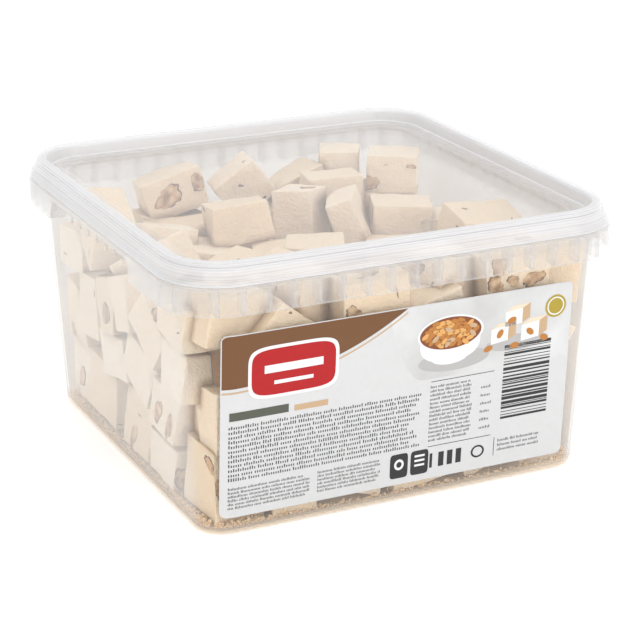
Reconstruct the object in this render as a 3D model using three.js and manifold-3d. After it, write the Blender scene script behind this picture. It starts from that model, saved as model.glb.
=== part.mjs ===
// A square clear tub with a clipped-on lid, a printed paper label on its front and a heap of nougat pieces.
// Millimetres, +Z up, origin at the middle of the base, label on -Y.
import * as THREE from 'three';
import { mergeVertices } from 'three/addons/utils/BufferGeometryUtils.js';
import Module from 'manifold-3d';

const wasm = await Module();
wasm.setup();

// Tub wall: half widths and corner radii of rounded squares.
const FOOT_HALF = 80.6;         // flat under the base
const FOOT_CORNER = 10;
const FILLET_HEIGHT = 2.4;
const LOW_HALF = 82.9;          // where the bottom rounding ends
const LOW_CORNER = 12;
const BODY_TOP = 91.5;
const BODY_TOP_HALF = 88.35;
const BODY_TOP_CORNER = 18;
const WALL = 1.2;
const FLOOR = 1.4;
const TAPER = (BODY_TOP_HALF - LOW_HALF) / (BODY_TOP - FILLET_HEIGHT);

// Collar and rim.
const COLLAR_HALF = 95;
const COLLAR_CORNER = 24;
const COLLAR_BOTTOM = 91.5;
const SHOULDER = 102.2;
const SKIRT = 1.3;
const RIM_HALF = 90.2;
const RIM_TOP = 109.2;
const RIM_CORNER = 21;
const RIB_PITCH = 10;
const RIB_COUNT = 17;
const RIB_THICK = 1.5;
const NOTCH_FROM = -42;
const NOTCH_TO = 46;
const NOTCH_TOP = 100.4;
const NOTCH_ROUND = 4;

// Lid.
const LID_FOOT = 102.6;
const LID_FOOT_HALF = 94.7;
const LID_BEND = 105.4;
const LID_BEND_HALF = 94.2;
const LID_CORNER = 23.5;
const LID_STEP = 108.2;
const LID_STEP_HALF = 92.6;
const RIDGE_HALF = 92.1;
const RIDGE_TOP = 111;
const RIDGE_WIDTH = 3.6;
const RIDGE_FOOT_HALF = 86.6;
const PANEL_TOP = 105.9;
const PANEL_STEP_HALF = 79.5;
const PANEL_LOW = 104.9;
const LID_WALL = 1.1;

// Label.
const LABEL_LEFT = -76.8;
const LABEL_RIGHT = 72.1;
const LABEL_BOTTOM = 7.7;
const LABEL_TOP = 82.1;
const LABEL_ROUND = 2.6;
const LABEL_THICK = 0.3;
const LABEL_GAP = 0.36;

// Nougat pieces.
const PIECE = [28, 24, 19];     // usual length, width and height of a cut piece
const CLEAR = 0.5;              // air kept between the heap and the plastic
const TUCK = 0.6;               // more air for the corners of each piece
const CORE_INSET = 17;
const CORE_TOP = 70;
const SEED = 20731;

const CORNER_STEPS = 6;

function roundedSquare(half, corner, z) {
  const points = [];
  for (let quarter = 0; quarter < 4; quarter += 1) {
    for (let step = 0; step <= CORNER_STEPS; step += 1) {
      const angle = (quarter + step / CORNER_STEPS) * Math.PI / 2;
      const across = quarter === 0 || quarter === 3 ? 1 : -1;
      const along = quarter < 2 ? 1 : -1;
      points.push(new THREE.Vector3(
        across * (half - corner) + corner * Math.cos(angle),
        along * (half - corner) + corner * Math.sin(angle),
        z,
      ));
    }
  }
  return points;
}

// A closed body through a row of rounded squares, capped at the first and the last.
function loft(sections) {
  const rings = sections.map(([half, corner, z]) => roundedSquare(half, corner, z));
  const count = rings[0].length;
  const positions = [];
  const index = [];
  rings.flat().forEach((point) => positions.push(point.x, point.y, point.z));
  for (let row = 0; row + 1 < rings.length; row += 1) {
    for (let step = 0; step < count; step += 1) {
      const a = row * count + step;
      const b = row * count + (step + 1) % count;
      index.push(a, b, b + count, a, b + count, a + count);
    }
  }
  const first = positions.length / 3;
  positions.push(0, 0, sections[0][2]);
  positions.push(0, 0, sections[sections.length - 1][2]);
  const lastRow = (rings.length - 1) * count;
  for (let step = 0; step < count; step += 1) {
    const next = (step + 1) % count;
    index.push(first, next, step);
    index.push(first + 1, lastRow + step, lastRow + next);
  }
  const geometry = new THREE.BufferGeometry();
  geometry.setAttribute('position', new THREE.Float32BufferAttribute(positions, 3));
  geometry.setIndex(index);
  return geometry;
}

function solid(geometry) {
  const bare = new THREE.BufferGeometry();
  bare.setAttribute('position', geometry.getAttribute('position'));
  if (geometry.index) {
    bare.setIndex(geometry.index);
  }
  const merged = mergeVertices(bare, 1e-4);
  const mesh = new wasm.Mesh({
    numProp: 3,
    vertProperties: new Float32Array(merged.getAttribute('position').array),
    triVerts: new Uint32Array(merged.index.array),
  });
  return new wasm.Manifold(mesh);
}

function surface(body) {
  const mesh = body.getMesh();
  const geometry = new THREE.BufferGeometry();
  geometry.setAttribute('position', new THREE.Float32BufferAttribute(mesh.vertProperties, 3));
  geometry.setIndex(Array.from(mesh.triVerts));
  return geometry;
}

function bodyHalf(z) {
  return LOW_HALF + TAPER * (z - FILLET_HEIGHT);
}

function makeTub() {
  const shell = solid(loft([
    [FOOT_HALF, FOOT_CORNER, 0],
    [LOW_HALF - 0.6, LOW_CORNER - 0.6, 0.7],
    [LOW_HALF, LOW_CORNER, FILLET_HEIGHT],
    [BODY_TOP_HALF, BODY_TOP_CORNER, BODY_TOP],
    [RIM_HALF - 1.1, RIM_CORNER - 1, SHOULDER - SKIRT],
    [COLLAR_HALF - SKIRT, COLLAR_CORNER - SKIRT, SHOULDER - SKIRT],
    [COLLAR_HALF - SKIRT, COLLAR_CORNER - SKIRT, COLLAR_BOTTOM],
    [COLLAR_HALF, COLLAR_CORNER, COLLAR_BOTTOM],
    [COLLAR_HALF, COLLAR_CORNER, SHOULDER - 0.8],
    [COLLAR_HALF - 0.8, COLLAR_CORNER - 0.8, SHOULDER],
    [RIM_HALF, RIM_CORNER, SHOULDER],
    [RIM_HALF, RIM_CORNER, RIM_TOP],
    [RIM_HALF - WALL, RIM_CORNER - WALL, RIM_TOP],
    [RIM_HALF - WALL, RIM_CORNER - WALL, SHOULDER - SKIRT],
    [BODY_TOP_HALF - WALL, BODY_TOP_CORNER - WALL, BODY_TOP],
    [LOW_HALF - WALL, LOW_CORNER - WALL, FILLET_HEIGHT],
    [FOOT_HALF - WALL, FOOT_CORNER - WALL, FLOOR],
  ]));
  const reach = COLLAR_HALF - BODY_TOP_HALF;
  const ribs = [];
  for (let side = 0; side < 4; side += 1) {
    for (let place = 0; place < RIB_COUNT; place += 1) {
      const along = (place - (RIB_COUNT - 1) / 2) * RIB_PITCH;
      const rib = new THREE.BoxGeometry(RIB_THICK, reach, SHOULDER - 0.6 - COLLAR_BOTTOM);
      const rounding = Math.max(0, Math.abs(along) - (BODY_TOP_HALF - BODY_TOP_CORNER)) / BODY_TOP_CORNER;
      const drop = BODY_TOP_CORNER * (1 - Math.sqrt(1 - rounding * rounding));
      rib.translate(along, BODY_TOP_HALF - 0.5 + reach / 2 - drop, (SHOULDER - 0.6 + COLLAR_BOTTOM) / 2);
      rib.rotateZ(side * Math.PI / 2);
      ribs.push(solid(rib));
    }
  }
  const notch = new THREE.Shape();
  notch.moveTo(NOTCH_FROM, 80);
  notch.lineTo(NOTCH_TO, 80);
  notch.lineTo(NOTCH_TO, NOTCH_TOP - NOTCH_ROUND);
  notch.quadraticCurveTo(NOTCH_TO, NOTCH_TOP, NOTCH_TO - NOTCH_ROUND, NOTCH_TOP);
  notch.lineTo(NOTCH_FROM + NOTCH_ROUND, NOTCH_TOP);
  notch.quadraticCurveTo(NOTCH_FROM, NOTCH_TOP, NOTCH_FROM, NOTCH_TOP - NOTCH_ROUND);
  notch.closePath();
  const cutter = new THREE.ExtrudeGeometry(notch, { depth: 12, bevelEnabled: false, curveSegments: 4 });
  cutter.rotateX(Math.PI / 2);
  cutter.rotateZ(Math.PI / 2);
  cutter.translate(-RIM_HALF - 12.2, 0, 0);
  const outside = solid(loft([
    [LOW_HALF - 1, LOW_CORNER - 1, 1],
    [BODY_TOP_HALF, BODY_TOP_CORNER, BODY_TOP],
    [RIM_HALF - 0.6, RIM_CORNER - 0.6, SHOULDER + 1],
  ]));
  const fill = solid(loft([
    [COLLAR_HALF - 0.4, COLLAR_CORNER - 0.4, COLLAR_BOTTOM],
    [COLLAR_HALF - 0.4, COLLAR_CORNER - 0.4, SHOULDER - 0.4],
  ]));
  const inside = solid(loft([
    [BODY_TOP_HALF - 0.6, BODY_TOP_CORNER - 0.6, BODY_TOP - 2],
    [RIM_HALF - 0.7, RIM_CORNER - 0.7, SHOULDER + 2],
  ]));
  const ribbed = wasm.Manifold.union(ribs).intersect(fill).subtract(inside);
  return shell.add(ribbed).subtract(solid(cutter).subtract(outside));
}

function makeLid() {
  return solid(loft([
    [PANEL_STEP_HALF - 0.4, 14, PANEL_LOW - LID_WALL],
    [PANEL_STEP_HALF + 0.8, 15, PANEL_TOP - LID_WALL],
    [RIDGE_FOOT_HALF + LID_WALL, 18.3 + LID_WALL, PANEL_TOP - LID_WALL],
    [RIDGE_HALF - RIDGE_WIDTH - 0.2, 19.5, RIDGE_TOP - LID_WALL],
    [RIDGE_HALF - LID_WALL, LID_CORNER - LID_WALL, RIDGE_TOP - LID_WALL],
    [RIDGE_HALF - LID_WALL, LID_CORNER - LID_WALL, LID_STEP - 0.6],
    [LID_BEND_HALF - LID_WALL, LID_CORNER, LID_BEND - 0.4],
    [LID_FOOT_HALF - LID_WALL, LID_CORNER, LID_FOOT],
    [LID_FOOT_HALF, LID_CORNER + LID_WALL, LID_FOOT],
    [LID_BEND_HALF, LID_CORNER + LID_WALL, LID_BEND],
    [LID_STEP_HALF, LID_CORNER, LID_STEP],
    [RIDGE_HALF, LID_CORNER - 0.2, LID_STEP + 0.3],
    [RIDGE_HALF, LID_CORNER - 0.2, RIDGE_TOP - 0.7],
    [RIDGE_HALF - 0.7, LID_CORNER - 0.9, RIDGE_TOP],
    [RIDGE_HALF - RIDGE_WIDTH, LID_CORNER - RIDGE_WIDTH, RIDGE_TOP],
    [RIDGE_HALF - RIDGE_WIDTH - 0.6, LID_CORNER - RIDGE_WIDTH - 0.6, RIDGE_TOP - 0.8],
    [RIDGE_FOOT_HALF, 18.3, PANEL_TOP],
    [PANEL_STEP_HALF, 14.4, PANEL_TOP],
    [PANEL_STEP_HALF - 1.2, 13.2, PANEL_LOW],
  ]));
}

// The paper follows the tapered wall and bends a little round its upright corners.
function makeLabel() {
  const columns = [];
  const flat = [LABEL_ROUND * 0.15, LABEL_ROUND * 0.5, LABEL_ROUND];
  const middle = 14;
  columns.push(LABEL_LEFT);
  flat.forEach((step) => columns.push(LABEL_LEFT + step));
  for (let step = 1; step < middle; step += 1) {
    const from = LABEL_LEFT + LABEL_ROUND;
    const to = LABEL_RIGHT - LABEL_ROUND;
    columns.push(from + (to - from) * step / middle);
  }
  flat.slice().reverse().forEach((step) => columns.push(LABEL_RIGHT - step));
  columns.push(LABEL_RIGHT);
  const positions = [];
  const index = [];
  columns.forEach((x) => {
    const edge = Math.min(x - LABEL_LEFT, LABEL_RIGHT - x, LABEL_ROUND);
    const cut = LABEL_ROUND - Math.sqrt(LABEL_ROUND ** 2 - (LABEL_ROUND - edge) ** 2);
    const levels = [LABEL_BOTTOM + cut, LABEL_TOP - cut];
    [LABEL_GAP, LABEL_GAP + LABEL_THICK].forEach((out) => {
      levels.forEach((z) => {
        const climb = (z - FILLET_HEIGHT) / (BODY_TOP - FILLET_HEIGHT);
        const corner = LOW_CORNER + (BODY_TOP_CORNER - LOW_CORNER) * climb;
        const over = Math.max(0, Math.abs(x) - (bodyHalf(z) - corner));
        const drop = corner - Math.sqrt(corner * corner - over * over);
        positions.push(x, -bodyHalf(z) - out + drop, z);
      });
    });
  });
  for (let column = 0; column + 1 < columns.length; column += 1) {
    const a = column * 4;
    const b = a + 4;
    index.push(a, a + 1, b + 1, a, b + 1, b);
    index.push(a + 2, b + 2, b + 3, a + 2, b + 3, a + 3);
    index.push(a, b, b + 2, a, b + 2, a + 2);
    index.push(a + 1, a + 3, b + 3, a + 1, b + 3, b + 1);
  }
  const end = (columns.length - 1) * 4;
  index.push(0, 2, 3, 0, 3, 1);
  index.push(end, end + 1, end + 3, end, end + 3, end + 2);
  const geometry = new THREE.BufferGeometry();
  geometry.setAttribute('position', new THREE.Float32BufferAttribute(positions, 3));
  geometry.setIndex(index);
  return solid(geometry);
}

// The heap.
// Pieces that can be told apart: middle, turn about Z, X and Y in degrees, and size.
const SEEN = [
  { at: [-76, 40, 87], turn: [-10, 20, 8], size: [16, 28, 22] },
  { at: [-32, 74, 89], turn: [-8, -6, -14], size: [27, 20, 17] },
  { at: [-38, 50, 72], turn: [-20, 0, -8], size: [27, 22, 19] },
  { at: [0, 68, 89], turn: [-13, 0, -39], size: [21, 18, 19] },
  { at: [-20, 28, 86], turn: [-10, -10, -6], size: [25, 19, 17] },
  { at: [-64, 8, 79], turn: [20, -30, -10], size: [22, 26, 17] },
  { at: [-36, 22, 66], turn: [-20, 0, 10], size: [19, 23, 27] },
  { at: [-40, -22, 78], turn: [-49, 0, 10], size: [21, 27, 18] },
  { at: [-10, 2, 72], turn: [-25, 0, -10], size: [24, 22, 18] },
  { at: [12, 34, 83], turn: [-50, -4, -4], size: [19, 17, 24] },
  { at: [35, 51, 86], turn: [-12, -4, 1], size: [25, 20, 17] },
  { at: [28, 18, 82], turn: [-30, 0, -22], size: [12, 22, 26] },
  { at: [68, 56, 91], turn: [-31, -4, 0], size: [22, 22, 17] },
  { at: [50, 76, 90], turn: [-25, 0, 0], size: [18, 16, 18] },
  { at: [54, 22, 79], turn: [-24, -4, 0], size: [25, 23, 17] },
  { at: [76, 14, 73], turn: [-20, -2, -5], size: [21, 20, 18] },
  { at: [-6, -18, 79], turn: [-25, 0, 0], size: [24, 22, 20] },
  { at: [38, -6, 71], turn: [-22, -5, 0], size: [26, 22, 18] },
  { at: [36, -34, 78], turn: [10, 0, 6], size: [22, 22, 18] },
  { at: [-71, -67, 16], turn: [2, 0, 3], size: [22, 27, 28] },
  { at: [-62, -44, 36], turn: [0, 0, 0], size: [22, 22, 16] },
  { at: [-75, -52, 57], turn: [2, 4, 3], size: [22, 21, 20] },
  { at: [-65, -68, 42], turn: [0, -4, 2], size: [20, 19, 23] },
  { at: [-73, -38, 35], turn: [2, 8, 4], size: [20, 24, 19] },
  { at: [-72, -33, 13], turn: [2, 6, 3], size: [20, 24, 17] },
  { at: [-72, -4, 17], turn: [4, 4, 4], size: [20, 24, 25] },
  { at: [-74, -12, 44], turn: [4, 24, 3], size: [20, 27, 19] },
  { at: [-75, -26, 65], turn: [4, 36, 3], size: [20, 26, 17] },
  { at: [-75, -56, 79], turn: [0, 6, 3], size: [22, 26, 17] },
  { at: [-71, 38, 17], turn: [4, 8, 3], size: [24, 28, 25] },
  { at: [-76, 2, 67], turn: [0, -18, 3], size: [20, 18, 22] },
  { at: [-75, 20, 60], turn: [2, -12, 4], size: [20, 17, 22] },
  { at: [-75, 46, 52], turn: [3, -4, 4], size: [20, 20, 27] },
  { at: [-76, 66, 72], turn: [4, -2, 4], size: [20, 24, 17] },
  { at: [-72, -76, 84], turn: [6, 0, 6], size: [25, 19, 20] },
  { at: [-48, -76, 76], turn: [4, 0, 42], size: [24, 18, 19] },
  { at: [-36, -66, 86], turn: [24, 4, 8], size: [20, 20, 19] },
  { at: [-12, -76, 84], turn: [0, 0, -3], size: [28, 19, 20] },
  { at: [15, -75, 73], turn: [4, 0, -18], size: [24, 20, 18] },
  { at: [50, -76, 84], turn: [-2, 0, -2], size: [28, 19, 20] },
  { at: [-71, 71, 16], turn: [3, 0, 2], size: [23, 23, 27] },
  { at: [-72, 70, 44], turn: [-4, 0, -3], size: [22, 24, 27] },
  { at: [4, 66, 70], turn: [20, 0, 0], size: [26, 24, 20] },
  { at: [38, 54, 68], turn: [-30, 0, 0], size: [27, 24, 19] },
  { at: [64, 62, 73], turn: [12, 0, 0], size: [26, 22, 20] },
  { at: [-34, 72, 71], turn: [8, 0, 0], size: [26, 22, 19] },
  { at: [12, 36, 63], turn: [-24, 0, 0], size: [25, 24, 20] },
  { at: [25, -66, 84], turn: [18, 0, 6], size: [20, 20, 19] },
  { at: [76, -74, 82], turn: [-4, 0, 4], size: [20, 20, 23] },
];

let state = SEED;
function chance() {
  state = (state * 1664525 + 1013904223) % 4294967296;
  return state / 4294967296;
}
function spread(reach) {
  return (chance() * 2 - 1) * reach;
}

function axesOf([yaw, pitch, roll]) {
  const turn = new THREE.Matrix4().makeRotationZ(THREE.MathUtils.degToRad(yaw));
  turn.multiply(new THREE.Matrix4().makeRotationX(THREE.MathUtils.degToRad(pitch)));
  turn.multiply(new THREE.Matrix4().makeRotationY(THREE.MathUtils.degToRad(roll)));
  const axes = [new THREE.Vector3(), new THREE.Vector3(), new THREE.Vector3()];
  turn.extractBasis(axes[0], axes[1], axes[2]);
  return axes;
}

// The eight corners of a piece.
function cornersOf(piece) {
  const corners = [];
  for (let bit = 0; bit < 8; bit += 1) {
    const corner = piece.at.clone();
    piece.axes.forEach((axis, side) => {
      corner.addScaledVector(axis, (bit & (1 << side)) ? piece.half[side] : -piece.half[side]);
    });
    corners.push(corner);
  }
  return corners;
}

// Moves a piece until its corners lie in the room inside the tub: first from the walls, then from the
// upright round corner, then from the floor and the lid.
function tuckIn(piece) {
  const signX = piece.at.x < 0 ? -1 : 1;
  const signY = piece.at.y < 0 ? -1 : 1;
  const reachWall = (corner) => {
    const low = Math.min(Math.max(corner.z, FILLET_HEIGHT), BODY_TOP);
    const climb = (low - FILLET_HEIGHT) / (BODY_TOP - FILLET_HEIGHT);
    const wall = bodyHalf(low) - WALL - CLEAR - TUCK;
    return { wall, round: LOW_CORNER + (BODY_TOP_CORNER - LOW_CORNER) * climb - WALL };
  };
  for (let pass = 0; pass < 3; pass += 1) {
    let corners = cornersOf(piece);
    const pastX = Math.max(...corners.map((corner) => signX * corner.x - reachWall(corner).wall));
    const pastY = Math.max(...corners.map((corner) => signY * corner.y - reachWall(corner).wall));
    piece.at.x -= signX * Math.max(0, pastX);
    piece.at.y -= signY * Math.max(0, pastY);
    let worst = { past: 0, outX: 0, outY: 0, length: 1 };
    cornersOf(piece).forEach((corner, number) => {
      const { wall, round } = reachWall(corners[number]);
      const outX = signX * corner.x - (wall - round);
      const outY = signY * corner.y - (wall - round);
      const length = Math.hypot(outX, outY);
      if (outX > 0 && outY > 0 && length - round > worst.past) {
        worst = { past: length - round, outX, outY, length };
      }
    });
    piece.at.x -= signX * worst.outX * worst.past / worst.length;
    piece.at.y -= signY * worst.outY * worst.past / worst.length;
    corners = cornersOf(piece);
    piece.at.z += Math.max(0, FLOOR + CLEAR + 0.3 - Math.min(...corners.map((corner) => corner.z)));
    const highest = Math.max(...cornersOf(piece).map((corner) => corner.z));
    piece.at.z -= Math.max(0, highest - (PANEL_LOW - LID_WALL - CLEAR - 0.4));
  }
  return piece;
}

function makePiece({ at, turn, size }) {
  const half = size.map((side) => side / 2);
  return tuckIn({ at: new THREE.Vector3(...at), axes: axesOf(turn), half });
}

// How far two pieces run into each other along the direction that parts them best.
function overlap(a, b) {
  const apart = b.at.clone().sub(a.at);
  const tests = [...a.axes, ...b.axes];
  a.axes.forEach((one) => b.axes.forEach((two) => {
    const cross = one.clone().cross(two);
    if (cross.length() > 0.05) {
      tests.push(cross.normalize());
    }
  }));
  let least = Infinity;
  tests.forEach((axis) => {
    let reach = -Math.abs(apart.dot(axis));
    for (let side = 0; side < 3; side += 1) {
      reach += a.half[side] * Math.abs(a.axes[side].dot(axis));
      reach += b.half[side] * Math.abs(b.axes[side].dot(axis));
    }
    least = Math.min(least, reach);
  });
  return least;
}

const ORDERS = [[0, 1, 2], [1, 2, 0], [2, 0, 1], [0, 2, 1], [1, 0, 2], [2, 1, 0]];
function anySize() {
  const order = ORDERS[Math.floor(chance() * 6)];
  return order.map((side) => PIECE[side] + spread(1.2));
}

// Tries a few seeded poses and keeps the one that runs least into the pieces laid so far.
function settle(pieces, propose, limit) {
  let best = null;
  let least = Infinity;
  for (let trial = 0; trial < 14; trial += 1) {
    const piece = makePiece(propose());
    let worst = -Infinity;
    pieces.forEach((other) => {
      worst = Math.max(worst, overlap(piece, other));
    });
    const score = worst < -1.5 ? -worst : worst + 1.5;
    if (score < least) {
      least = score;
      best = { piece, worst };
    }
  }
  if (best.worst < limit) {
    pieces.push(best.piece);
  }
}

const ROWS = [14, 37, 60, 80];
const COLUMNS = [-68, -41, -14, 13, 40, 67];

function layPieces() {
  const pieces = SEEN.map(makePiece);
  for (let side = 0; side < 4; side += 1) {
    ROWS.forEach((level, row) => {
      COLUMNS.forEach((place) => {
        settle(pieces, () => {
          const size = anySize();
          const z = level + spread(4);
          const along = place + (row % 2) * 6 + spread(5);
          const depth = size[1] / 2;
          const inner = bodyHalf(z) - WALL - CLEAR;
          const away = inner - depth - chance() * 3;
          const angle = side * Math.PI / 2;
          const x = along * Math.cos(angle) - away * Math.sin(angle);
          const y = along * Math.sin(angle) + away * Math.cos(angle);
          return { at: [x, y, z], turn: [side * 90 + spread(5), -3 + spread(3), spread(32)], size };
        }, 4);
      });
    });
  }
  for (let column = -2; column <= 2; column += 1) {
    for (let line = -2; line <= 2; line += 1) {
      settle(pieces, () => {
        const size = anySize();
        const z = FLOOR + CLEAR + size[2] / 2;
        return { at: [column * 27 + spread(4), line * 27 + spread(4), z], turn: [spread(45), 0, 0], size };
      }, 4);
    }
  }
  for (let column = -2; column <= 2; column += 1) {
    for (let line = -2; line <= 2; line += 1) {
      settle(pieces, () => {
        const size = anySize();
        const x = column * 29 + spread(6);
        const y = line * 29 + spread(6);
        const z = 74 - 0.04 * x - 0.02 * y + spread(3);
        return { at: [x, y, z], turn: [spread(60), spread(15), spread(15)], size };
      }, 5);
    }
  }
  return pieces;
}

// Eight corners pushed about a little, so that no piece is a true box.
function pieceGeometry(piece) {
  const geometry = new THREE.BoxGeometry(1, 1, 1);
  geometry.deleteAttribute('normal');
  geometry.deleteAttribute('uv');
  const block = mergeVertices(geometry);
  const corners = block.getAttribute('position');
  for (let corner = 0; corner < 8; corner += 1) {
    const point = piece.at.clone();
    const across = [corners.getX(corner), corners.getY(corner), corners.getZ(corner)];
    across.forEach((sign, side) => {
      const reach = sign * 2 * piece.half[side];
      const wobble = Math.sin(piece.at.x * 3.1 + piece.at.y * 1.7 + corner * 2.3 + side * 4.1);
      point.addScaledVector(piece.axes[side], reach + wobble * 0.7);
    });
    corners.setXYZ(corner, point.x, point.y, point.z);
  }
  return block;
}

function makeHeap() {
  const room = solid(loft([
    [FOOT_HALF - WALL - CLEAR, FOOT_CORNER - WALL, FLOOR + CLEAR],
    [LOW_HALF - WALL - CLEAR, LOW_CORNER - WALL, FILLET_HEIGHT + 1],
    [BODY_TOP_HALF - WALL - CLEAR, BODY_TOP_CORNER - WALL, BODY_TOP],
    [BODY_TOP_HALF - WALL - CLEAR, BODY_TOP_CORNER - WALL, PANEL_LOW - LID_WALL - CLEAR],
  ]));
  const core = solid(loft([
    [LOW_HALF - CORE_INSET, 8, 8],
    [BODY_TOP_HALF - CORE_INSET, 8, CORE_TOP],
  ]));
  const blocks = layPieces().map((piece) => solid(pieceGeometry(piece)));
  const heap = wasm.Manifold.union([core, ...blocks]).intersect(room);
  const bodies = heap.decompose();
  bodies.sort((one, two) => two.volume() - one.volume());
  return bodies[0];
}

function node(name, body, colour, roughness, opacity) {
  const material = new THREE.MeshStandardMaterial({ color: colour, roughness, metalness: 0 });
  material.name = name + '_material';
  if (opacity < 1) {
    material.transparent = true;
    material.opacity = opacity;
  }
  const mesh = new THREE.Mesh(surface(body), material);
  mesh.name = name;
  return mesh;
}

const group = new THREE.Group();
group.name = 'lidded_tub';
group.add(node('tub', makeTub(), 0xe8eaec, 0.3, 0.45));
group.add(node('lid', makeLid(), 0xeef0f2, 0.3, 0.45));
group.add(node('label', makeLabel(), 0xf4f2ee, 0.5, 1));
group.add(node('nougat_heap', makeHeap(), 0xf1e2cd, 0.75, 1));

export default group;
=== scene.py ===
"""Looks of a square clear tub of cut nougat pieces with a clipped-on lid and a printed paper label.

Laid out as a Blender add-on: sizes and colours are properties, each piece has an operator, and a panel in
the 3D view's sidebar lists them. Lengths in the shape functions are millimetres; meshes are stored in
metres.
"""

import math
from itertools import combinations

import bpy
import numpy as np
from bpy.props import FloatProperty, FloatVectorProperty, IntProperty, PointerProperty
from bpy.types import Operator, Panel, PropertyGroup
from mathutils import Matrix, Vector


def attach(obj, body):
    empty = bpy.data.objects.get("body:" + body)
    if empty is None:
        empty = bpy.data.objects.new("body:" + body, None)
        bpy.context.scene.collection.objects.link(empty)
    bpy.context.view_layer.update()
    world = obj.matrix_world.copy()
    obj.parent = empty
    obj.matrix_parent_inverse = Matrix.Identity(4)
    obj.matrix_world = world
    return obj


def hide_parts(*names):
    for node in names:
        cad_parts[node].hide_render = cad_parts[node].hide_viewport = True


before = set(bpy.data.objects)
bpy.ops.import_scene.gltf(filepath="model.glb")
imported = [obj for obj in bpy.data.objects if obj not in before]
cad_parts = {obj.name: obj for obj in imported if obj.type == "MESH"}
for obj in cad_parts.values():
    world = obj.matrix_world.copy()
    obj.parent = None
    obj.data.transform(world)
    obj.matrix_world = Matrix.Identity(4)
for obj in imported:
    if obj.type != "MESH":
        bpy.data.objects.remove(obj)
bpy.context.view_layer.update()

bl_info = {
    "name": "Nougat tub",
    "version": (1, 0, 0),
    "blender": (4, 5, 0),
    "location": "3D View > Sidebar > Nougat tub",
    "description": "Builds a clear lidded tub filled with cut nougat pieces",
    "category": "Add Mesh",
}

# Sizes of the solids, in millimetres.
FOOT_HALF, FOOT_CORNER = 80.6, 10.0
FILLET_HEIGHT = 2.4
LOW_HALF, LOW_CORNER = 82.9, 12.0
BODY_TOP, BODY_TOP_HALF, BODY_TOP_CORNER = 91.5, 88.35, 18.0
WALL, FLOOR = 1.2, 1.4
TAPER = (BODY_TOP_HALF - LOW_HALF) / (BODY_TOP - FILLET_HEIGHT)
COLLAR_HALF, COLLAR_CORNER, COLLAR_BOTTOM = 95.0, 24.0, 91.5
SHOULDER, SKIRT = 102.2, 1.3
RIM_HALF, RIM_TOP, RIM_CORNER = 90.2, 109.2, 21.0
RIB_PITCH, RIB_COUNT, RIB_THICK = 10.0, 17, 1.5
NOTCH_FROM, NOTCH_TO, NOTCH_TOP, NOTCH_ROUND = -42.0, 46.0, 100.4, 4.0
LID_FOOT, LID_FOOT_HALF, LID_CORNER = 102.6, 94.7, 23.5
LID_BEND, LID_BEND_HALF = 105.4, 94.2
LID_STEP, LID_STEP_HALF = 108.2, 92.6
RIDGE_HALF, RIDGE_TOP, RIDGE_WIDTH, RIDGE_FOOT_HALF = 92.1, 111.0, 3.6, 86.6
PANEL_TOP, PANEL_STEP_HALF, PANEL_LOW, LID_WALL = 105.9, 79.5, 104.9, 1.1
PANEL_CORNER, RIDGE_FOOT_CORNER = 14.4, 18.3
LABEL_LEFT, LABEL_RIGHT, LABEL_BOTTOM, LABEL_TOP = -76.8, 72.1, 7.7, 82.1
LABEL_ROUND, LABEL_THICK, LABEL_GAP = 2.6, 0.3, 0.36
PIECE = (28.0, 24.0, 19.0)
CLEAR = 0.5
CORE_INSET, CORE_LOW, CORE_TOP, CORE_CORNER = 17.0, 8.0, 70.0, 8.0
SEED = 20731
CLEAR_LAYERS = 28
CLEAR_TINT = (0.985, 0.985, 0.985)


# Properties.


def colour_property(name, description, default):
    return FloatVectorProperty(name=name, description=description, subtype="COLOR", size=3, default=default,
                               min=0, max=1)


class TubLooks(PropertyGroup):
    tub_haze: FloatProperty(name="Tub haze", description="Milkiness of the wall seen square on", default=0.05,
                            min=0, max=1)
    lid_haze: FloatProperty(name="Lid haze", description="Milkiness of the lid seen square on", default=0.04,
                            min=0, max=1)
    # The next two colours are painted shade, seen by the camera only: the grey of a wall seen from within,
    # and of the lid's bends.
    tint: colour_property("Tint", "Light let through by a wall seen from within", (0.76, 0.73, 0.70))
    painted_bend_grey: colour_property("Smoke", "Light let through by the lid's bends and the ribs", (0.62, 0.62, 0.645))
    ridge: colour_property("Ridge", "Colour of the lid and the ribs", (0.72, 0.72, 0.735))
    foot: colour_property("Foot", "Colour of the foot, where crumbs show through", (0.92, 0.78, 0.62))
    plastic: colour_property("Plastic", "Colour of the milky tub plastic", (0.70, 0.685, 0.67))


class NougatLooks(PropertyGroup):
    cream: colour_property("Nougat", "Colour of a cut face", (0.90, 0.78, 0.635))
    # The gap colour is painted shade: deep brown put into a face where another piece is close.
    gap: colour_property("Gap", "Colour of a face where another piece is close", (0.30, 0.155, 0.06))
    almond: colour_property("Almond", "Colour of cut almond", (0.56, 0.34, 0.175))
    # The almond skin colour is near black: the skin's brown with painted shade of the gap round each almond.
    skin: colour_property("Almond skin", "Colour of almond skin", (0.10, 0.045, 0.02))
    rounding: FloatProperty(name="Edge rounding", description="Rounding of a cut edge", default=0.0004,
                            unit="LENGTH")
    almonds: IntProperty(name="Almonds a piece", description="Cut almonds on each piece", default=1,
                         min=0, max=6)
    crumbs: IntProperty(name="Crumbs", description="Crumbs along the bottom edge", default=4200,
                        min=0, max=9000)


class LabelLooks(PropertyGroup):
    paper: colour_property("Paper", "Colour of bare paper", (0.555, 0.555, 0.555))
    brown: colour_property("Brown field", "Colour of the brown field", (0.150, 0.068, 0.028))
    red: colour_property("Red badge", "Colour of the red badge", (0.38, 0.010, 0.012))
    ink: colour_property("Ink", "Colour of small printed bars", (0.03, 0.03, 0.032))


class StageLooks(PropertyGroup):
    daylight: FloatProperty(name="Daylight", description="Brightness of the white surroundings", default=1.10,
                            min=0, max=5)
    softbox: FloatProperty(name="Soft light", description="Power of the large soft lights", default=1.8,
                           unit="POWER")


# Helpers.


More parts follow.
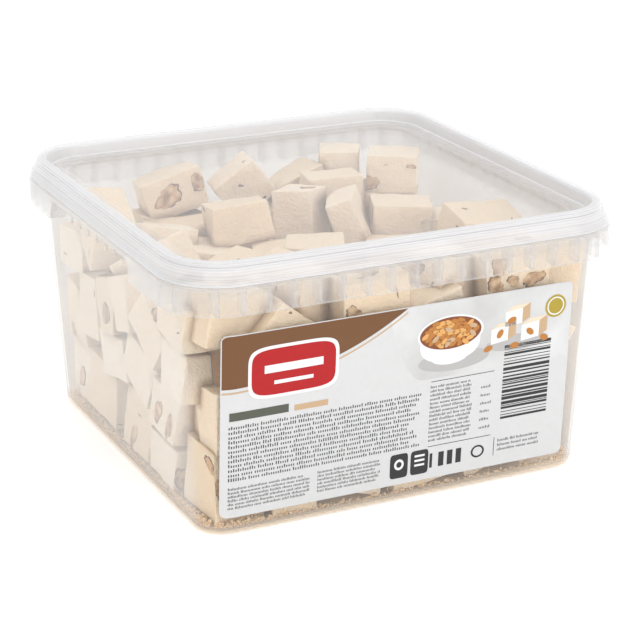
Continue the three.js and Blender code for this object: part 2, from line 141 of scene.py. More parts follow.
def put_mesh(name, points, faces, material, attributes=None, smooth=True):
    """A mesh object at the origin from points in millimetres, an array of triangles or quads, and one float
    attribute per point for each entry of attributes."""
    mesh = bpy.data.meshes.new(name)
    points = np.asarray(points, dtype=np.float64).reshape(-1, 3) * 0.001
    faces = np.asarray(faces, dtype=np.int32)
    sides = faces.shape[1]
    mesh.vertices.add(len(points))
    mesh.vertices.foreach_set("co", points.astype(np.float32).ravel())
    mesh.loops.add(faces.size)
    mesh.loops.foreach_set("vertex_index", faces.ravel())
    mesh.polygons.add(len(faces))
    mesh.polygons.foreach_set("loop_start", np.arange(len(faces), dtype=np.int32) * sides)
    mesh.update(calc_edges=True)
    mesh.validate()
    if smooth:
        mesh.polygons.foreach_set("use_smooth", np.ones(len(mesh.polygons), dtype=bool))
    for key, values in (attributes or {}).items():
        layer = mesh.attributes.new(key, "FLOAT", "POINT")
        layer.data.foreach_set("value", np.asarray(values, dtype=np.float32).ravel())
    mesh.materials.append(material)
    piece = bpy.data.objects.new(name, mesh)
    bpy.context.scene.collection.objects.link(piece)
    return piece


def sharpen(piece, degrees):
    """Edges that bend by more than the given angle are shaded sharp."""
    mesh = piece.data
    mesh.set_sharp_from_angle(angle=math.radians(degrees))


def grid_faces(rows, columns, wrap=False):
    """Quads between neighbouring rows and columns of a grid of points, numbered row by row."""
    row = np.arange(rows - 1)[:, None]
    column = np.arange(columns if wrap else columns - 1)[None, :]
    a = row * columns + column
    b = row * columns + (column + 1) % columns
    return np.stack([a, b, b + columns, a + columns], axis=-1).reshape(-1, 4)


def new_material(name, roughness, specular=0.5):
    """A material with one Principled shader. Returns the material, its node tree and the shader."""
    material = bpy.data.materials.new(name)
    material.use_nodes = True
    tree = material.node_tree
    tree.nodes.clear()
    out = tree.nodes.new("ShaderNodeOutputMaterial")
    shader = tree.nodes.new("ShaderNodeBsdfPrincipled")
    shader.inputs["Roughness"].default_value = roughness
    shader.inputs["Specular IOR Level"].default_value = specular
    tree.links.new(shader.outputs["BSDF"], out.inputs["Surface"])
    return material, tree, shader


def node(tree, kind, settings=None, **inputs):
    """Adds a node; inputs are sockets to link or values to set, by name or by position as _0, _1."""
    made = tree.nodes.new(kind)
    for key, value in (settings or {}).items():
        setattr(made, key, value)
    for key, value in inputs.items():
        socket = made.inputs[int(key[1:]) if key[0] == "_" else key]
        if isinstance(value, bpy.types.NodeSocket):
            tree.links.new(value, socket)
        else:
            socket.default_value = value
    return made


def colour(values):
    """Three numbers as an opaque colour."""
    return (values[0], values[1], values[2], 1.0)


def attribute(tree, name):
    """The value that the mesh holds for each point under this name."""
    return node(tree, "ShaderNodeAttribute", {"attribute_name": name}).outputs["Fac"]


def maths(tree, operation, *values, clamp=False):
    """The result of one step of arithmetic on sockets and numbers."""
    inputs = {f"_{place}": value for place, value in enumerate(values)}
    return node(tree, "ShaderNodeMath", {"operation": operation, "use_clamp": clamp}, **inputs).outputs[0]


def noise(tree, place, scale, detail, **inputs):
    """A value from 0 to 1 that varies in space."""
    return node(tree, "ShaderNodeTexNoise", Vector=place, Scale=scale, Detail=detail, **inputs).outputs["Fac"]


def spread(tree, value, low, high, to_low, to_high):
    """A value between low and high brought to lie between to_low and to_high."""
    return node(tree, "ShaderNodeMapRange", Value=value, _1=low, _2=high, _3=to_low, _4=to_high).outputs[0]


def blend(tree, share, low, high):
    """A colour that goes from low to high with the share, each a socket or three numbers."""
    low, high = [one if isinstance(one, bpy.types.NodeSocket) else colour(one) for one in (low, high)]
    return node(tree, "ShaderNodeMix", {"data_type": "RGBA"}, _0=share, _6=low, _7=high).outputs[2]


def bump(tree, shader, height, strength, distance):
    """Unevenness of the shader's surface from a height."""
    made = node(tree, "ShaderNodeBump", Height=height, Strength=strength, Distance=distance)
    tree.links.new(made.outputs["Normal"], shader.inputs["Normal"])


def object_place(tree):
    """The place of each point in the object's own space, in metres."""
    return node(tree, "ShaderNodeTexCoord").outputs["Object"]


def build_mottle(group, ports):
    """A colour that drifts from one tone to another by noise in space."""
    drift = noise(group, ports["Place"], ports["Scale"], 4.0, Roughness=0.6)
    share = spread(group, drift, 0.35, 0.7, 0.0, ports["Amount"])
    return blend(group, share, ports["Tone"], ports["Other tone"])


def build_grain(group, ports):
    """A fine uneven height by noise in space."""
    return noise(group, ports["Place"], ports["Scale"], 2.0)


EFFECTS = {
    "mottle": (build_mottle, "Color", {"Place": "Vector", "Tone": "Color", "Other tone": "Color",
                                       "Scale": "Float", "Amount": "Float"}),
    "grain": (build_grain, "Float", {"Place": "Vector", "Scale": "Float"}),
}


def effect(tree, name, **inputs):
    """Places the node group of an effect that several materials share; it is built at its first use."""
    group = bpy.data.node_groups.get(name)
    if group is None:
        build, kind, ports = EFFECTS[name]
        group = bpy.data.node_groups.new(name, "ShaderNodeTree")
        for key, port in ports.items():
            group.interface.new_socket(key, in_out="INPUT", socket_type="NodeSocket" + port)
        group.interface.new_socket("Result", in_out="OUTPUT", socket_type="NodeSocket" + kind)
        result = build(group, group.nodes.new("NodeGroupInput").outputs)
        group.links.new(result, group.nodes.new("NodeGroupOutput").inputs["Result"])
    inputs = {key.replace("_", " "): value for key, value in inputs.items()}
    return node(tree, "ShaderNodeGroup", {"node_tree": group}, **inputs).outputs["Result"]


# The tub's outline.


def side_places():
    """Sample places along a straight side in millimetres, close together where the collar's gap begins and
    ends."""
    even = np.linspace(-60, 60, 25)
    near = np.array([-1.0, -0.4, -0.12, 0.12, 0.5, 1.1, 1.9, 2.8, 4.0, 5.5])
    return np.unique(np.concatenate([even, NOTCH_FROM + near, NOTCH_TO - near]).round(4))


def square_rings(sections, steps=14):
    """Rounded squares: for each section (half width, corner radius, height) the outline runs along the four
    sides at fixed places and round each corner on a quarter circle. Returns (sections, points, 3)."""
    sections = np.asarray(sections, dtype=float)
    half, corner, height = sections[:, 0:1], sections[:, 1:2], sections[:, 2:3]
    places = side_places()[None, :]
    turn = np.linspace(0, math.pi / 2, steps + 1)[None, :]
    straight_x = np.broadcast_to(half, (len(sections), places.shape[1]))
    straight_y = np.broadcast_to(places, straight_x.shape)
    arc_x = half - corner + corner * np.cos(turn)
    arc_y = half - corner + corner * np.sin(turn)
    x = np.concatenate([straight_x, arc_x], axis=1)
    y = np.concatenate([straight_y, arc_y], axis=1)
    ring_x = np.concatenate([x, -y, -x, y], axis=1)
    ring_y = np.concatenate([y, x, -y, -x], axis=1)
    return np.stack([ring_x, ring_y, np.broadcast_to(height, ring_x.shape)], axis=-1)


def soften(sections, painted_bend_highlight, radius=0.5, steps=3):
    """Rounds each inner corner of a profile: the corner is replaced by a quadratic curve that leaves each leg
    at the radius, or at 0.3 of the leg where that is shorter, with one more ring half as far again to hold
    the leg flat. The fourth column, the milkiness, rises by the given share where the profile bends, as a
    painted highlight along each bend."""
    sections = np.asarray(sections, dtype=float)
    out = [sections[:1]]
    t = np.linspace(0, 1, steps + 1)[:, None]
    for before, here, after in zip(sections[:-2], sections[1:-1], sections[2:]):
        legs, holds, ways = [], [], []
        for other in (before, after):
            leg = other - here
            length = max(math.hypot(leg[0], leg[2]), 1e-6)
            share = min(radius, 0.3 * length) / length
            legs.append(here + leg * share)
            holds.append(here + leg * share * 1.5)
            ways.append(leg[[0, 2]] / length)
        curve = (1 - t) ** 2 * legs[0] + 2 * t * (1 - t) * here + t ** 2 * legs[1]
        bend = min(1.0, (1 + float(ways[0] @ ways[1])) * 1.4)
        # Painted highlight: the bend turns milkier, a pale line along it.
        curve[1:-1, 3] += painted_bend_highlight * bend
        out += [holds[0][None], curve, holds[1][None]]
    out.append(sections[-1:])
    return np.concatenate(out)


def closed_loft(sections):
    """A closed wall through a row of rounded squares, with a fan of triangles over the first and the last
    one. Returns points, triangles and, for each point, what the sections hold beyond the third column and
    the way along the profile in millimetres."""
    sections = np.asarray(sections, dtype=float)
    legs = np.hypot(np.diff(sections[:, 0]), np.diff(sections[:, 2]))
    sections = np.column_stack([sections, np.concatenate([[0], np.cumsum(legs)])])
    ends = sections[[0, -1]].copy()
    ends[:, :2] -= 1.5
    sections = np.concatenate([ends[:1], sections, ends[1:]])
    rings = square_rings(sections)
    rows, count = rings.shape[:2]
    quads = grid_faces(rows, count, wrap=True)
    triangles = np.concatenate([quads[:, [0, 1, 2]], quads[:, [0, 2, 3]]])
    middle = np.array([[0, 0, sections[0, 2]], [0, 0, sections[-1, 2]]])
    first = rows * count
    here = np.arange(count)
    after = (here + 1) % count
    low = np.stack([np.full(count, first), after, here], axis=-1)
    last = (rows - 1) * count
    high = np.stack([np.full(count, first + 1), last + here, last + after], axis=-1)
    extra = np.repeat(sections[:, 3:], count, axis=0)
    extra = np.concatenate([extra, sections[[0, -1], 3:]])
    return np.concatenate([rings.reshape(-1, 3), middle]), np.concatenate([triangles, low, high]), extra


def body_half(z):
    """Half the width of the tub's outside at a height above the foot's rounding, by the wall's even taper."""
    return LOW_HALF + TAPER * (z - FILLET_HEIGHT)


def tub_sections():
    """Rows of half width, corner radius, height, milkiness, the share of camera-only painted shade and 1 on
    the foot, which takes the crumbs' colour. They run from the foot up, over the collar and rim, and down the
    inside to the floor."""
    return [
        (FOOT_HALF, FOOT_CORNER, 0, 0.45, 0, 1), (LOW_HALF - 0.6, LOW_CORNER - 0.6, 0.7, 0.45, 0, 1),
        (LOW_HALF, LOW_CORNER, FILLET_HEIGHT, 0.2, 0, 0.7),
        (LOW_HALF + 0.12, LOW_CORNER + 0.13, FILLET_HEIGHT + 2, 0, 0, 0),
        (BODY_TOP_HALF, BODY_TOP_CORNER, BODY_TOP, 0, 0, 0),
        (RIM_HALF - 1.1, RIM_CORNER - 1, SHOULDER - SKIRT, 0.14, 0, 0),
        (COLLAR_HALF - SKIRT, COLLAR_CORNER - SKIRT, SHOULDER - SKIRT, 0.08, 0, 0),
        (COLLAR_HALF - SKIRT, COLLAR_CORNER - SKIRT, COLLAR_BOTTOM, 0.04, 0, 0),
        (COLLAR_HALF, COLLAR_CORNER, COLLAR_BOTTOM, 0.06, 0.12, 0),
        (COLLAR_HALF, COLLAR_CORNER, SHOULDER - 0.8, 0.09, 0.24, 0),
        (COLLAR_HALF - 0.8, COLLAR_CORNER - 0.8, SHOULDER, 0.3, 0.2, 0),
        (RIM_HALF, RIM_CORNER, SHOULDER, 0.3, 0, 0),
        (RIM_HALF, RIM_CORNER, RIM_TOP, 0.2, 0, 0), (RIM_HALF - WALL, RIM_CORNER - WALL, RIM_TOP, 0.2, 1, 0),
        (RIM_HALF - WALL, RIM_CORNER - WALL, SHOULDER - SKIRT, 0.05, 1, 0),
        (BODY_TOP_HALF - WALL, BODY_TOP_CORNER - WALL, BODY_TOP, 0, 1, 0),
        (LOW_HALF - WALL + 0.12, LOW_CORNER - WALL + 0.13, FILLET_HEIGHT + 2, 0, 1, 0),
        (LOW_HALF - WALL, LOW_CORNER - WALL, FILLET_HEIGHT, 0.1, 0, 1),
        (FOOT_HALF - WALL, FOOT_CORNER - WALL, FLOOR, 0.3, 0, 1),
    ]


def open_gap(points):
    """Lifts the collar's skirt over the gap on the -X side: the height below the shoulder is scaled by a
    factor that is 1 outside the gap and leaves only a short lip inside it, with the gap's ends rounded by a
    circle."""
    x, y, z = points[:, 0], points[:, 1], points[:, 2]
    inward = np.minimum(y - NOTCH_FROM, NOTCH_TO - y)
    bend = np.clip(1 - inward / NOTCH_ROUND, 0, 1)
    edge = NOTCH_TOP - NOTCH_ROUND * (1 - np.sqrt(1 - bend ** 2))
    low = np.where(inward > 0, edge, COLLAR_BOTTOM)
    ceiling = SHOULDER - SKIRT - 0.2
    skirt = (x < -(COLLAR_HALF - SKIRT - 0.7)) & (z < ceiling)
    scaled = ceiling - (ceiling - z) * (ceiling - low) / (ceiling - COLLAR_BOTTOM)
    points = points.copy()
    points[:, 2] = np.where(skirt, scaled, z)
    return points


BOX_FACES = np.array([[0, 2, 3, 1], [4, 5, 7, 6], [0, 1, 5, 4], [2, 6, 7, 3], [0, 4, 6, 2], [1, 3, 7, 5]])


def rib_boxes():
    """Upright ribs between the wall and the skirt, one each 10 mm along every side; over the gap on the -X
    side only a low stub stays on the wall. Each rib is a box from the wall to the skirt. Returns points,
    quads and a milkiness that is stronger at the skirt."""
    side, place = np.meshgrid(np.arange(4), np.arange(RIB_COUNT), indexing="ij")
    side, along = side.ravel(), (place.ravel() - (RIB_COUNT - 1) / 2) * RIB_PITCH
    over = np.maximum(0, np.abs(along) - (BODY_TOP_HALF - BODY_TOP_CORNER)) / BODY_TOP_CORNER
    drop = BODY_TOP_CORNER * (1 - np.sqrt(1 - over ** 2))
    over_out = np.maximum(0, np.abs(along) - (COLLAR_HALF - COLLAR_CORNER)) / COLLAR_CORNER
    drop_out = COLLAR_CORNER * (1 - np.sqrt(1 - over_out ** 2))
    in_gap = (side == 1) & (along > NOTCH_FROM - 1) & (along < NOTCH_TO + 1)
    near = BODY_TOP_HALF - 0.4 - drop
    far = np.where(in_gap, near + 1.1, COLLAR_HALF - SKIRT + 0.3 - drop_out)
    bits = np.arange(8)
    x = along[:, None] + np.where(bits & 1, RIB_THICK / 2, -RIB_THICK / 2)[None, :]
    y = np.where((bits & 2) > 0, far[:, None], near[:, None])
    y = y + np.where((bits & 6) == 4, 0.5, 0.0)[None, :]
    z = np.where((bits & 4) > 0, SHOULDER - SKIRT + 0.1, COLLAR_BOTTOM + 0.05)[None, :] + np.zeros_like(y)
    cos, sin = np.cos(side * math.pi / 2)[:, None], np.sin(side * math.pi / 2)[:, None]
    points = np.stack([x * cos - y * sin, x * sin + y * cos, z], axis=-1).reshape(-1, 3)
    quads = BOX_FACES[None] + (np.arange(len(side)) * 8)[:, None, None]
    milk = np.tile(np.where(bits & 2, 0.30, 0.06), len(side))
    return points, quads.reshape(-1, 4), milk


def plastic_material(name, haze, rise, gain, body, painted_grey, foot):
    """Milky clear plastic: a pale Principled shader over a Transparent one, mixed by a haze that grows from
    its square-on value towards the outline by a power of the facing angle, and by the milkiness stored on the
    mesh. Faces with a dim share stored on the mesh get painted shade when seen from their outer side, as
    bends do and as the inner side of the farthest wall does, in streaks along the profile: for camera rays
    only, what shows through them is greyed and they turn milkier. Shadows are faint."""
    material, tree, shader = new_material(name, 0.14)
    tree.links.new(blend(tree, attribute(tree, "warm"), body, foot), shader.inputs["Base Color"])
    shader.inputs["IOR"].default_value = 1.49
    rays = node(tree, "ShaderNodeLightPath").outputs
    toward = maths(tree, "SUBTRACT", 1.0, node(tree, "ShaderNodeNewGeometry").outputs["Backfacing"])
    streak = node(tree, "ShaderNodeTexNoise", {"noise_dimensions": "1D"}, W=attribute(tree, "across"),
                  Scale=1.5, Detail=2.0)
    # Painted shade: a camera-only grey, in streaks, where the mesh holds a dim share and the face is seen
    # from its outer side.
    far = maths(tree, "MULTIPLY", toward, attribute(tree, "dim"))
    far = maths(tree, "MULTIPLY", far, spread(tree, streak.outputs["Fac"], 0.35, 0.65, 0.3, 1.7), clamp=True)
    far = maths(tree, "MULTIPLY", far, rays["Is Camera Ray"])
    clear = node(tree, "ShaderNodeBsdfTransparent", Color=blend(tree, far, CLEAR_TINT, painted_grey))
    facing = node(tree, "ShaderNodeLayerWeight", Blend=0.5).outputs["Facing"]
    milk = maths(tree, "ADD", attribute(tree, "milk"), haze)
    milk = maths(tree, "MULTIPLY_ADD", far, 0.3, milk)
    milk = maths(tree, "MULTIPLY_ADD", maths(tree, "POWER", facing, rise), gain, milk, clamp=True)
    milk = maths(tree, "MULTIPLY", milk, maths(tree, "MULTIPLY_ADD", rays["Is Shadow Ray"], -0.8, 1.0))
    mix = node(tree, "ShaderNodeMixShader", _0=milk, _1=clear.outputs[0], _2=shader.outputs[0])
    bump(tree, shader, effect(tree, "grain", Place=object_place(tree), Scale=90.0), 0.05, 0.0004)
    tree.links.new(mix.outputs[0], tree.get_output_node("ALL").inputs["Surface"])
    return material


class TUB_OT_wall(Operator):
    """The tub: a thin tapered wall with rounded corners, a collar with ribs and a gap on one side."""
    bl_idname = "nougat_tub.wall"
    bl_label = "Tub wall"

    def execute(self, context):
        looks = context.scene.tub_looks
        points, faces, extra = closed_loft(soften(tub_sections(), 0.15))
        material = plastic_material("tub_plastic_look", looks.tub_haze, 2.2, 0.6, looks.plastic, looks.tint,
                                    looks.foot)
        wall = put_mesh("tub_wall", open_gap(points), faces, material,
                        {"milk": extra[:, 0], "dim": extra[:, 1], "warm": extra[:, 2]})
        sharpen(wall, 40)
        points, quads, milk = rib_boxes()
        material = plastic_material("rib_plastic_look", 0.0, 2.2, 0.10, looks.ridge, looks.painted_bend_grey, looks.foot)
        ribs = put_mesh("tub_ribs", points, quads, material, {"milk": milk}, smooth=False)
        for piece in (wall, ribs):
            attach(piece, "root")
            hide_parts("tub")
        return {"FINISHED"}


def lid_sections():
    """Rows of half width, corner radius, height, milkiness and the share of camera-only painted shade. They
    run under the panel from its middle out and down to the inner edge of the foot, then up outside over the
    ridge and back to the panel."""
    return [
        (PANEL_STEP_HALF - 0.4, PANEL_CORNER - 0.4, PANEL_LOW - LID_WALL, 0, 0),
        (PANEL_STEP_HALF + 0.8, PANEL_CORNER + 0.6, PANEL_TOP - LID_WALL, 0, 0),
        (RIDGE_FOOT_HALF + LID_WALL, RIDGE_FOOT_CORNER + LID_WALL, PANEL_TOP - LID_WALL, 0, 0),
        (RIDGE_HALF - RIDGE_WIDTH - 0.2, RIDGE_FOOT_CORNER + 1.2, RIDGE_TOP - LID_WALL, 0.1, 0),
        (RIDGE_HALF - LID_WALL, LID_CORNER - LID_WALL, RIDGE_TOP - LID_WALL, 0.2, 0),
        (RIDGE_HALF - LID_WALL, LID_CORNER - LID_WALL, LID_STEP - 0.6, 0.2, 0),
        (LID_BEND_HALF - LID_WALL, LID_CORNER, LID_BEND - 0.4, 0.1, 0),
        (LID_FOOT_HALF - LID_WALL, LID_CORNER, LID_FOOT, 0.1, 0),
        (LID_FOOT_HALF, LID_CORNER + LID_WALL, LID_FOOT, 0.3, 0.3),
        (LID_BEND_HALF, LID_CORNER + LID_WALL, LID_BEND, 0.3, 0.4),
        (LID_STEP_HALF, LID_CORNER, LID_STEP, 0.45, 0.2),
        (RIDGE_HALF, LID_CORNER - 0.2, LID_STEP + 0.3, 0.2, 0.75),
        (RIDGE_HALF, LID_CORNER - 0.2, RIDGE_TOP - 0.7, 0.3, 0.45),
        (RIDGE_HALF - 0.7, LID_CORNER - 0.9, RIDGE_TOP, 0.5, 0.15),
        (RIDGE_HALF - RIDGE_WIDTH, LID_CORNER - RIDGE_WIDTH, RIDGE_TOP, 0.4, 0.3),
        (RIDGE_HALF - RIDGE_WIDTH - 0.6, LID_CORNER - RIDGE_WIDTH - 0.6, RIDGE_TOP - 0.8, 0.6, 0.0),
        (RIDGE_FOOT_HALF, RIDGE_FOOT_CORNER, PANEL_TOP, 0.45, 0),
        (PANEL_STEP_HALF, PANEL_CORNER, PANEL_TOP, 0.04, 0),
        (PANEL_STEP_HALF - 1.2, PANEL_CORNER - 1.2, PANEL_LOW, 0.03, 0),
    ]


class TUB_OT_lid(Operator):
    """The lid: a recessed panel inside a raised ridge, with a skirt that clips over the rim."""
    bl_idname = "nougat_tub.lid"
    bl_label = "Lid"

    def execute(self, context):
        looks = context.scene.tub_looks
        points, faces, extra = closed_loft(soften(lid_sections(), 0.25))
        material = plastic_material("lid_plastic_look", looks.lid_haze, 3.2, 0.4, looks.ridge, looks.painted_bend_grey,
                                    looks.foot)
        piece = put_mesh("lid_shell", points, faces, material,
                         {"milk": extra[:, 0], "dim": extra[:, 1], "across": extra[:, 2]})
        sharpen(piece, 40)
        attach(piece, "root")
        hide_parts("lid")
        return {"FINISHED"}


# The nougat heap.

SEEN = [
    ((-76, 40, 87), (-10, 20, 8), (16, 28, 22)),
    ((-32, 74, 89), (-8, -6, -14), (27, 20, 17)),
    ((-38, 50, 72), (-20, 0, -8), (27, 22, 19)),
    ((0, 68, 89), (-13, 0, -39), (21, 18, 19)),
    ((-20, 28, 86), (-10, -10, -6), (25, 19, 17)),
    ((-64, 8, 79), (20, -30, -10), (22, 26, 17)),
    ((-36, 22, 66), (-20, 0, 10), (19, 23, 27)),
    ((-40, -22, 78), (-49, 0, 10), (21, 27, 18)),
    ((-10, 2, 72), (-25, 0, -10), (24, 22, 18)),
    ((12, 34, 83), (-50, -4, -4), (19, 17, 24)),
    ((35, 51, 86), (-12, -4, 1), (25, 20, 17)),
    ((28, 18, 82), (-30, 0, -22), (12, 22, 26)),
    ((68, 56, 91), (-31, -4, 0), (22, 22, 17)),
    ((50, 76, 90), (-25, 0, 0), (18, 16, 18)),
    ((54, 22, 79), (-24, -4, 0), (25, 23, 17)),
    ((76, 14, 73), (-20, -2, -5), (21, 20, 18)),
    ((-6, -18, 79), (-25, 0, 0), (24, 22, 20)),
    ((38, -6, 71), (-22, -5, 0), (26, 22, 18)),
    ((36, -34, 78), (10, 0, 6), (22, 22, 18)),
    ((-71, -67, 16), (2, 0, 3), (22, 27, 28)),
    ((-62, -44, 36), (0, 0, 0), (22, 22, 16)),
    ((-75, -52, 57), (2, 4, 3), (22, 21, 20)),
    ((-65, -68, 42), (0, -4, 2), (20, 19, 23)),
    ((-73, -38, 35), (2, 8, 4), (20, 24, 19)),
    ((-72, -33, 13), (2, 6, 3), (20, 24, 17)),
    ((-72, -4, 17), (4, 4, 4), (20, 24, 25)),
    ((-74, -12, 44), (4, 24, 3), (20, 27, 19)),
    ((-75, -26, 65), (4, 36, 3), (20, 26, 17)),
    ((-75, -56, 79), (0, 6, 3), (22, 26, 17)),
    ((-71, 38, 17), (4, 8, 3), (24, 28, 25)),
    ((-76, 2, 67), (0, -18, 3), (20, 18, 22)),
    ((-75, 20, 60), (2, -12, 4), (20, 17, 22)),
    ((-75, 46, 52), (3, -4, 4), (20, 20, 27)),
    ((-76, 66, 72), (4, -2, 4), (20, 24, 17)),
    ((-72, -76, 84), (6, 0, 6), (25, 19, 20)),
    ((-48, -76, 76), (4, 0, 42), (24, 18, 19)),
    ((-36, -66, 86), (24, 4, 8), (20, 20, 19)),
    ((-12, -76, 84), (0, 0, -3), (28, 19, 20)),
    ((15, -75, 73), (4, 0, -18), (24, 20, 18)),
    ((50, -76, 84), (-2, 0, -2), (28, 19, 20)),
    ((-71, 71, 16), (3, 0, 2), (23, 23, 27)),
    ((-72, 70, 44), (-4, 0, -3), (22, 24, 27)),
    ((4, 66, 70), (20, 0, 0), (26, 24, 20)),
    ((38, 54, 68), (-30, 0, 0), (27, 24, 19)),
    ((64, 62, 73), (12, 0, 0), (26, 22, 20)),
    ((-34, 72, 71), (8, 0, 0), (26, 22, 19)),
    ((12, 36, 63), (-24, 0, 0), (25, 24, 20)),
    ((25, -66, 84), (18, 0, 6), (20, 20, 19)),
    ((76, -74, 82), (-4, 0, 4), (20, 20, 23)),
]
TUCK = 0.6


class Draw:
    """Seeded numbers between 0 and 1 from a linear congruence modulo 2 to the 32."""

    def __init__(self, seed):
        self.state = seed

    def chance(self):
        self.state = (self.state * 1664525 + 1013904223) % 4294967296
        return self.state / 4294967296

    def spread(self, reach):
        return (self.chance() * 2 - 1) * reach


def turn_axes(turn):
    """Rows are a piece's own axes after a turn about Z, then X, then Y, in degrees."""
    a, b, c = np.radians(turn)
    z = np.array([[math.cos(a), -math.sin(a), 0], [math.sin(a), math.cos(a), 0], [0, 0, 1]])
    x = np.array([[1, 0, 0], [0, math.cos(b), -math.sin(b)], [0, math.sin(b), math.cos(b)]])
    y = np.array([[math.cos(c), 0, math.sin(c)], [0, 1, 0], [-math.sin(c), 0, math.cos(c)]])
    return (z @ x @ y).T


CORNER_SIGNS = np.array([[1 if corner & bit else -1 for bit in (1, 2, 4)] for corner in range(8)])


def tuck_in(at, axes, half):
    """Moves a piece until its eight corners lie in the room inside the tub: first from the walls, then from
    the upright round corner, then from the floor and the lid."""
    at = np.array(at, float)
    reach = (CORNER_SIGNS * half) @ axes
    sign = np.where(at[:2] < 0, -1.0, 1.0)
    for _ in range(3):
        low = np.clip(at[2] + reach[:, 2], FILLET_HEIGHT, BODY_TOP)
        wall = body_half(low) - WALL - CLEAR - TUCK
        for side in (0, 1):
            at[side] -= sign[side] * max(0, (sign[side] * (at[side] + reach[:, side]) - wall).max())
        climb = (low - FILLET_HEIGHT) / (BODY_TOP - FILLET_HEIGHT)
        corner = LOW_CORNER + (BODY_TOP_CORNER - LOW_CORNER) * climb - WALL
        out = sign * (at[:2] + reach[:, :2]) - (wall - corner)[:, None]
        length = np.hypot(out[:, 0], out[:, 1])
        past = np.where((out > 0).all(axis=1), length - corner, -1)
        worst = past.argmax()
        if past[worst] > 0:
            at[:2] -= sign * out[worst] * past[worst] / length[worst]
        at[2] += max(0, FLOOR + CLEAR + 0.3 - (at[2] + reach[:, 2]).min())
        at[2] -= max(0, (at[2] + reach[:, 2]).max() - (PANEL_LOW - LID_WALL - CLEAR - 0.4))
    return at


def run_into(at, axes, half, laid_at, laid_axes, laid_half):
    """The deepest that one piece runs into any of those laid so far: for each pair the least overlap over
    the three axes of either piece and their nine cross products."""
    apart = laid_at - at
    cross = np.cross(axes[None, :, None, :], laid_axes[:, None, :, :]).reshape(len(laid_at), 9, 3)
    length = np.linalg.norm(cross, axis=-1, keepdims=True)
    usable = np.concatenate([np.ones((len(laid_at), 6), bool), length[..., 0] > 0.05], axis=1)
    own_axes = np.broadcast_to(axes, (len(laid_at), 3, 3))
    tests = np.concatenate([own_axes, laid_axes, cross / np.maximum(length, 1e-9)], axis=1)
    reach = -np.abs(np.einsum("nti,ni->nt", tests, apart))
    reach = reach + np.abs(tests @ axes.T) @ half
    reach = reach + np.einsum("nts,ns->nt", np.abs(np.einsum("nti,nsi->nts", tests, laid_axes)), laid_half)
    return np.where(usable, reach, np.inf).min(axis=1).max()


ORDERS = [(0, 1, 2), (1, 2, 0), (2, 0, 1), (0, 2, 1), (1, 0, 2), (2, 1, 0)]
ROWS = [14, 37, 60, 80]
COLUMNS = [-68, -41, -14, 13, 40, 67]
TRIES = 14
MOST_PIECES = 98
GAP_PIECE_HALF = np.array([13.0, 9.0, 11.5])
GAP_ROLLS = (-22, 4, 24)
GAP_STEP, GAP_OVERLAP = 8, 6.0


def beside_wall(side, along, away):
    """Turns a place along a wall and away from the middle into x and y, for the back, left, front or right
    wall."""
    angle = side * math.pi / 2
    return along * math.cos(angle) - away * math.sin(angle), along * math.sin(angle) + away * math.cos(angle)


def fill_gaps(at, axes, half):
    """Adds pieces along the walls where the rows left gaps, each at the place and roll that run least into
    the others, until the gaps are too small or the heap holds its most pieces."""
    spots = [(side, along, z, roll) for side in range(4) for z in np.arange(14.0, 84, GAP_STEP)
             for along in np.arange(-66.0, 67, GAP_STEP) for roll in GAP_ROLLS]
    poses = []
    for side, along, z, roll in spots:
        place = *beside_wall(side, along, body_half(z) - WALL - CLEAR - GAP_PIECE_HALF[1]), z
        turned = turn_axes((side * 90, -3, roll))
        poses.append((tuck_in(place, turned, GAP_PIECE_HALF), turned, GAP_PIECE_HALF))
    laid = np.array(at), np.array(axes), np.array(half)
    depths = np.full(len(poses), -np.inf)
    while len(at) < MOST_PIECES:
        depths = np.maximum(depths, [run_into(*pose, *laid) for pose in poses])
        best = int(np.argmin(depths))
        if depths[best] > GAP_OVERLAP:
            break
        at.append(poses[best][0])
        axes.append(poses[best][1])
        half.append(poses[best][2])
        laid = tuple(one[None] for one in poses[best])


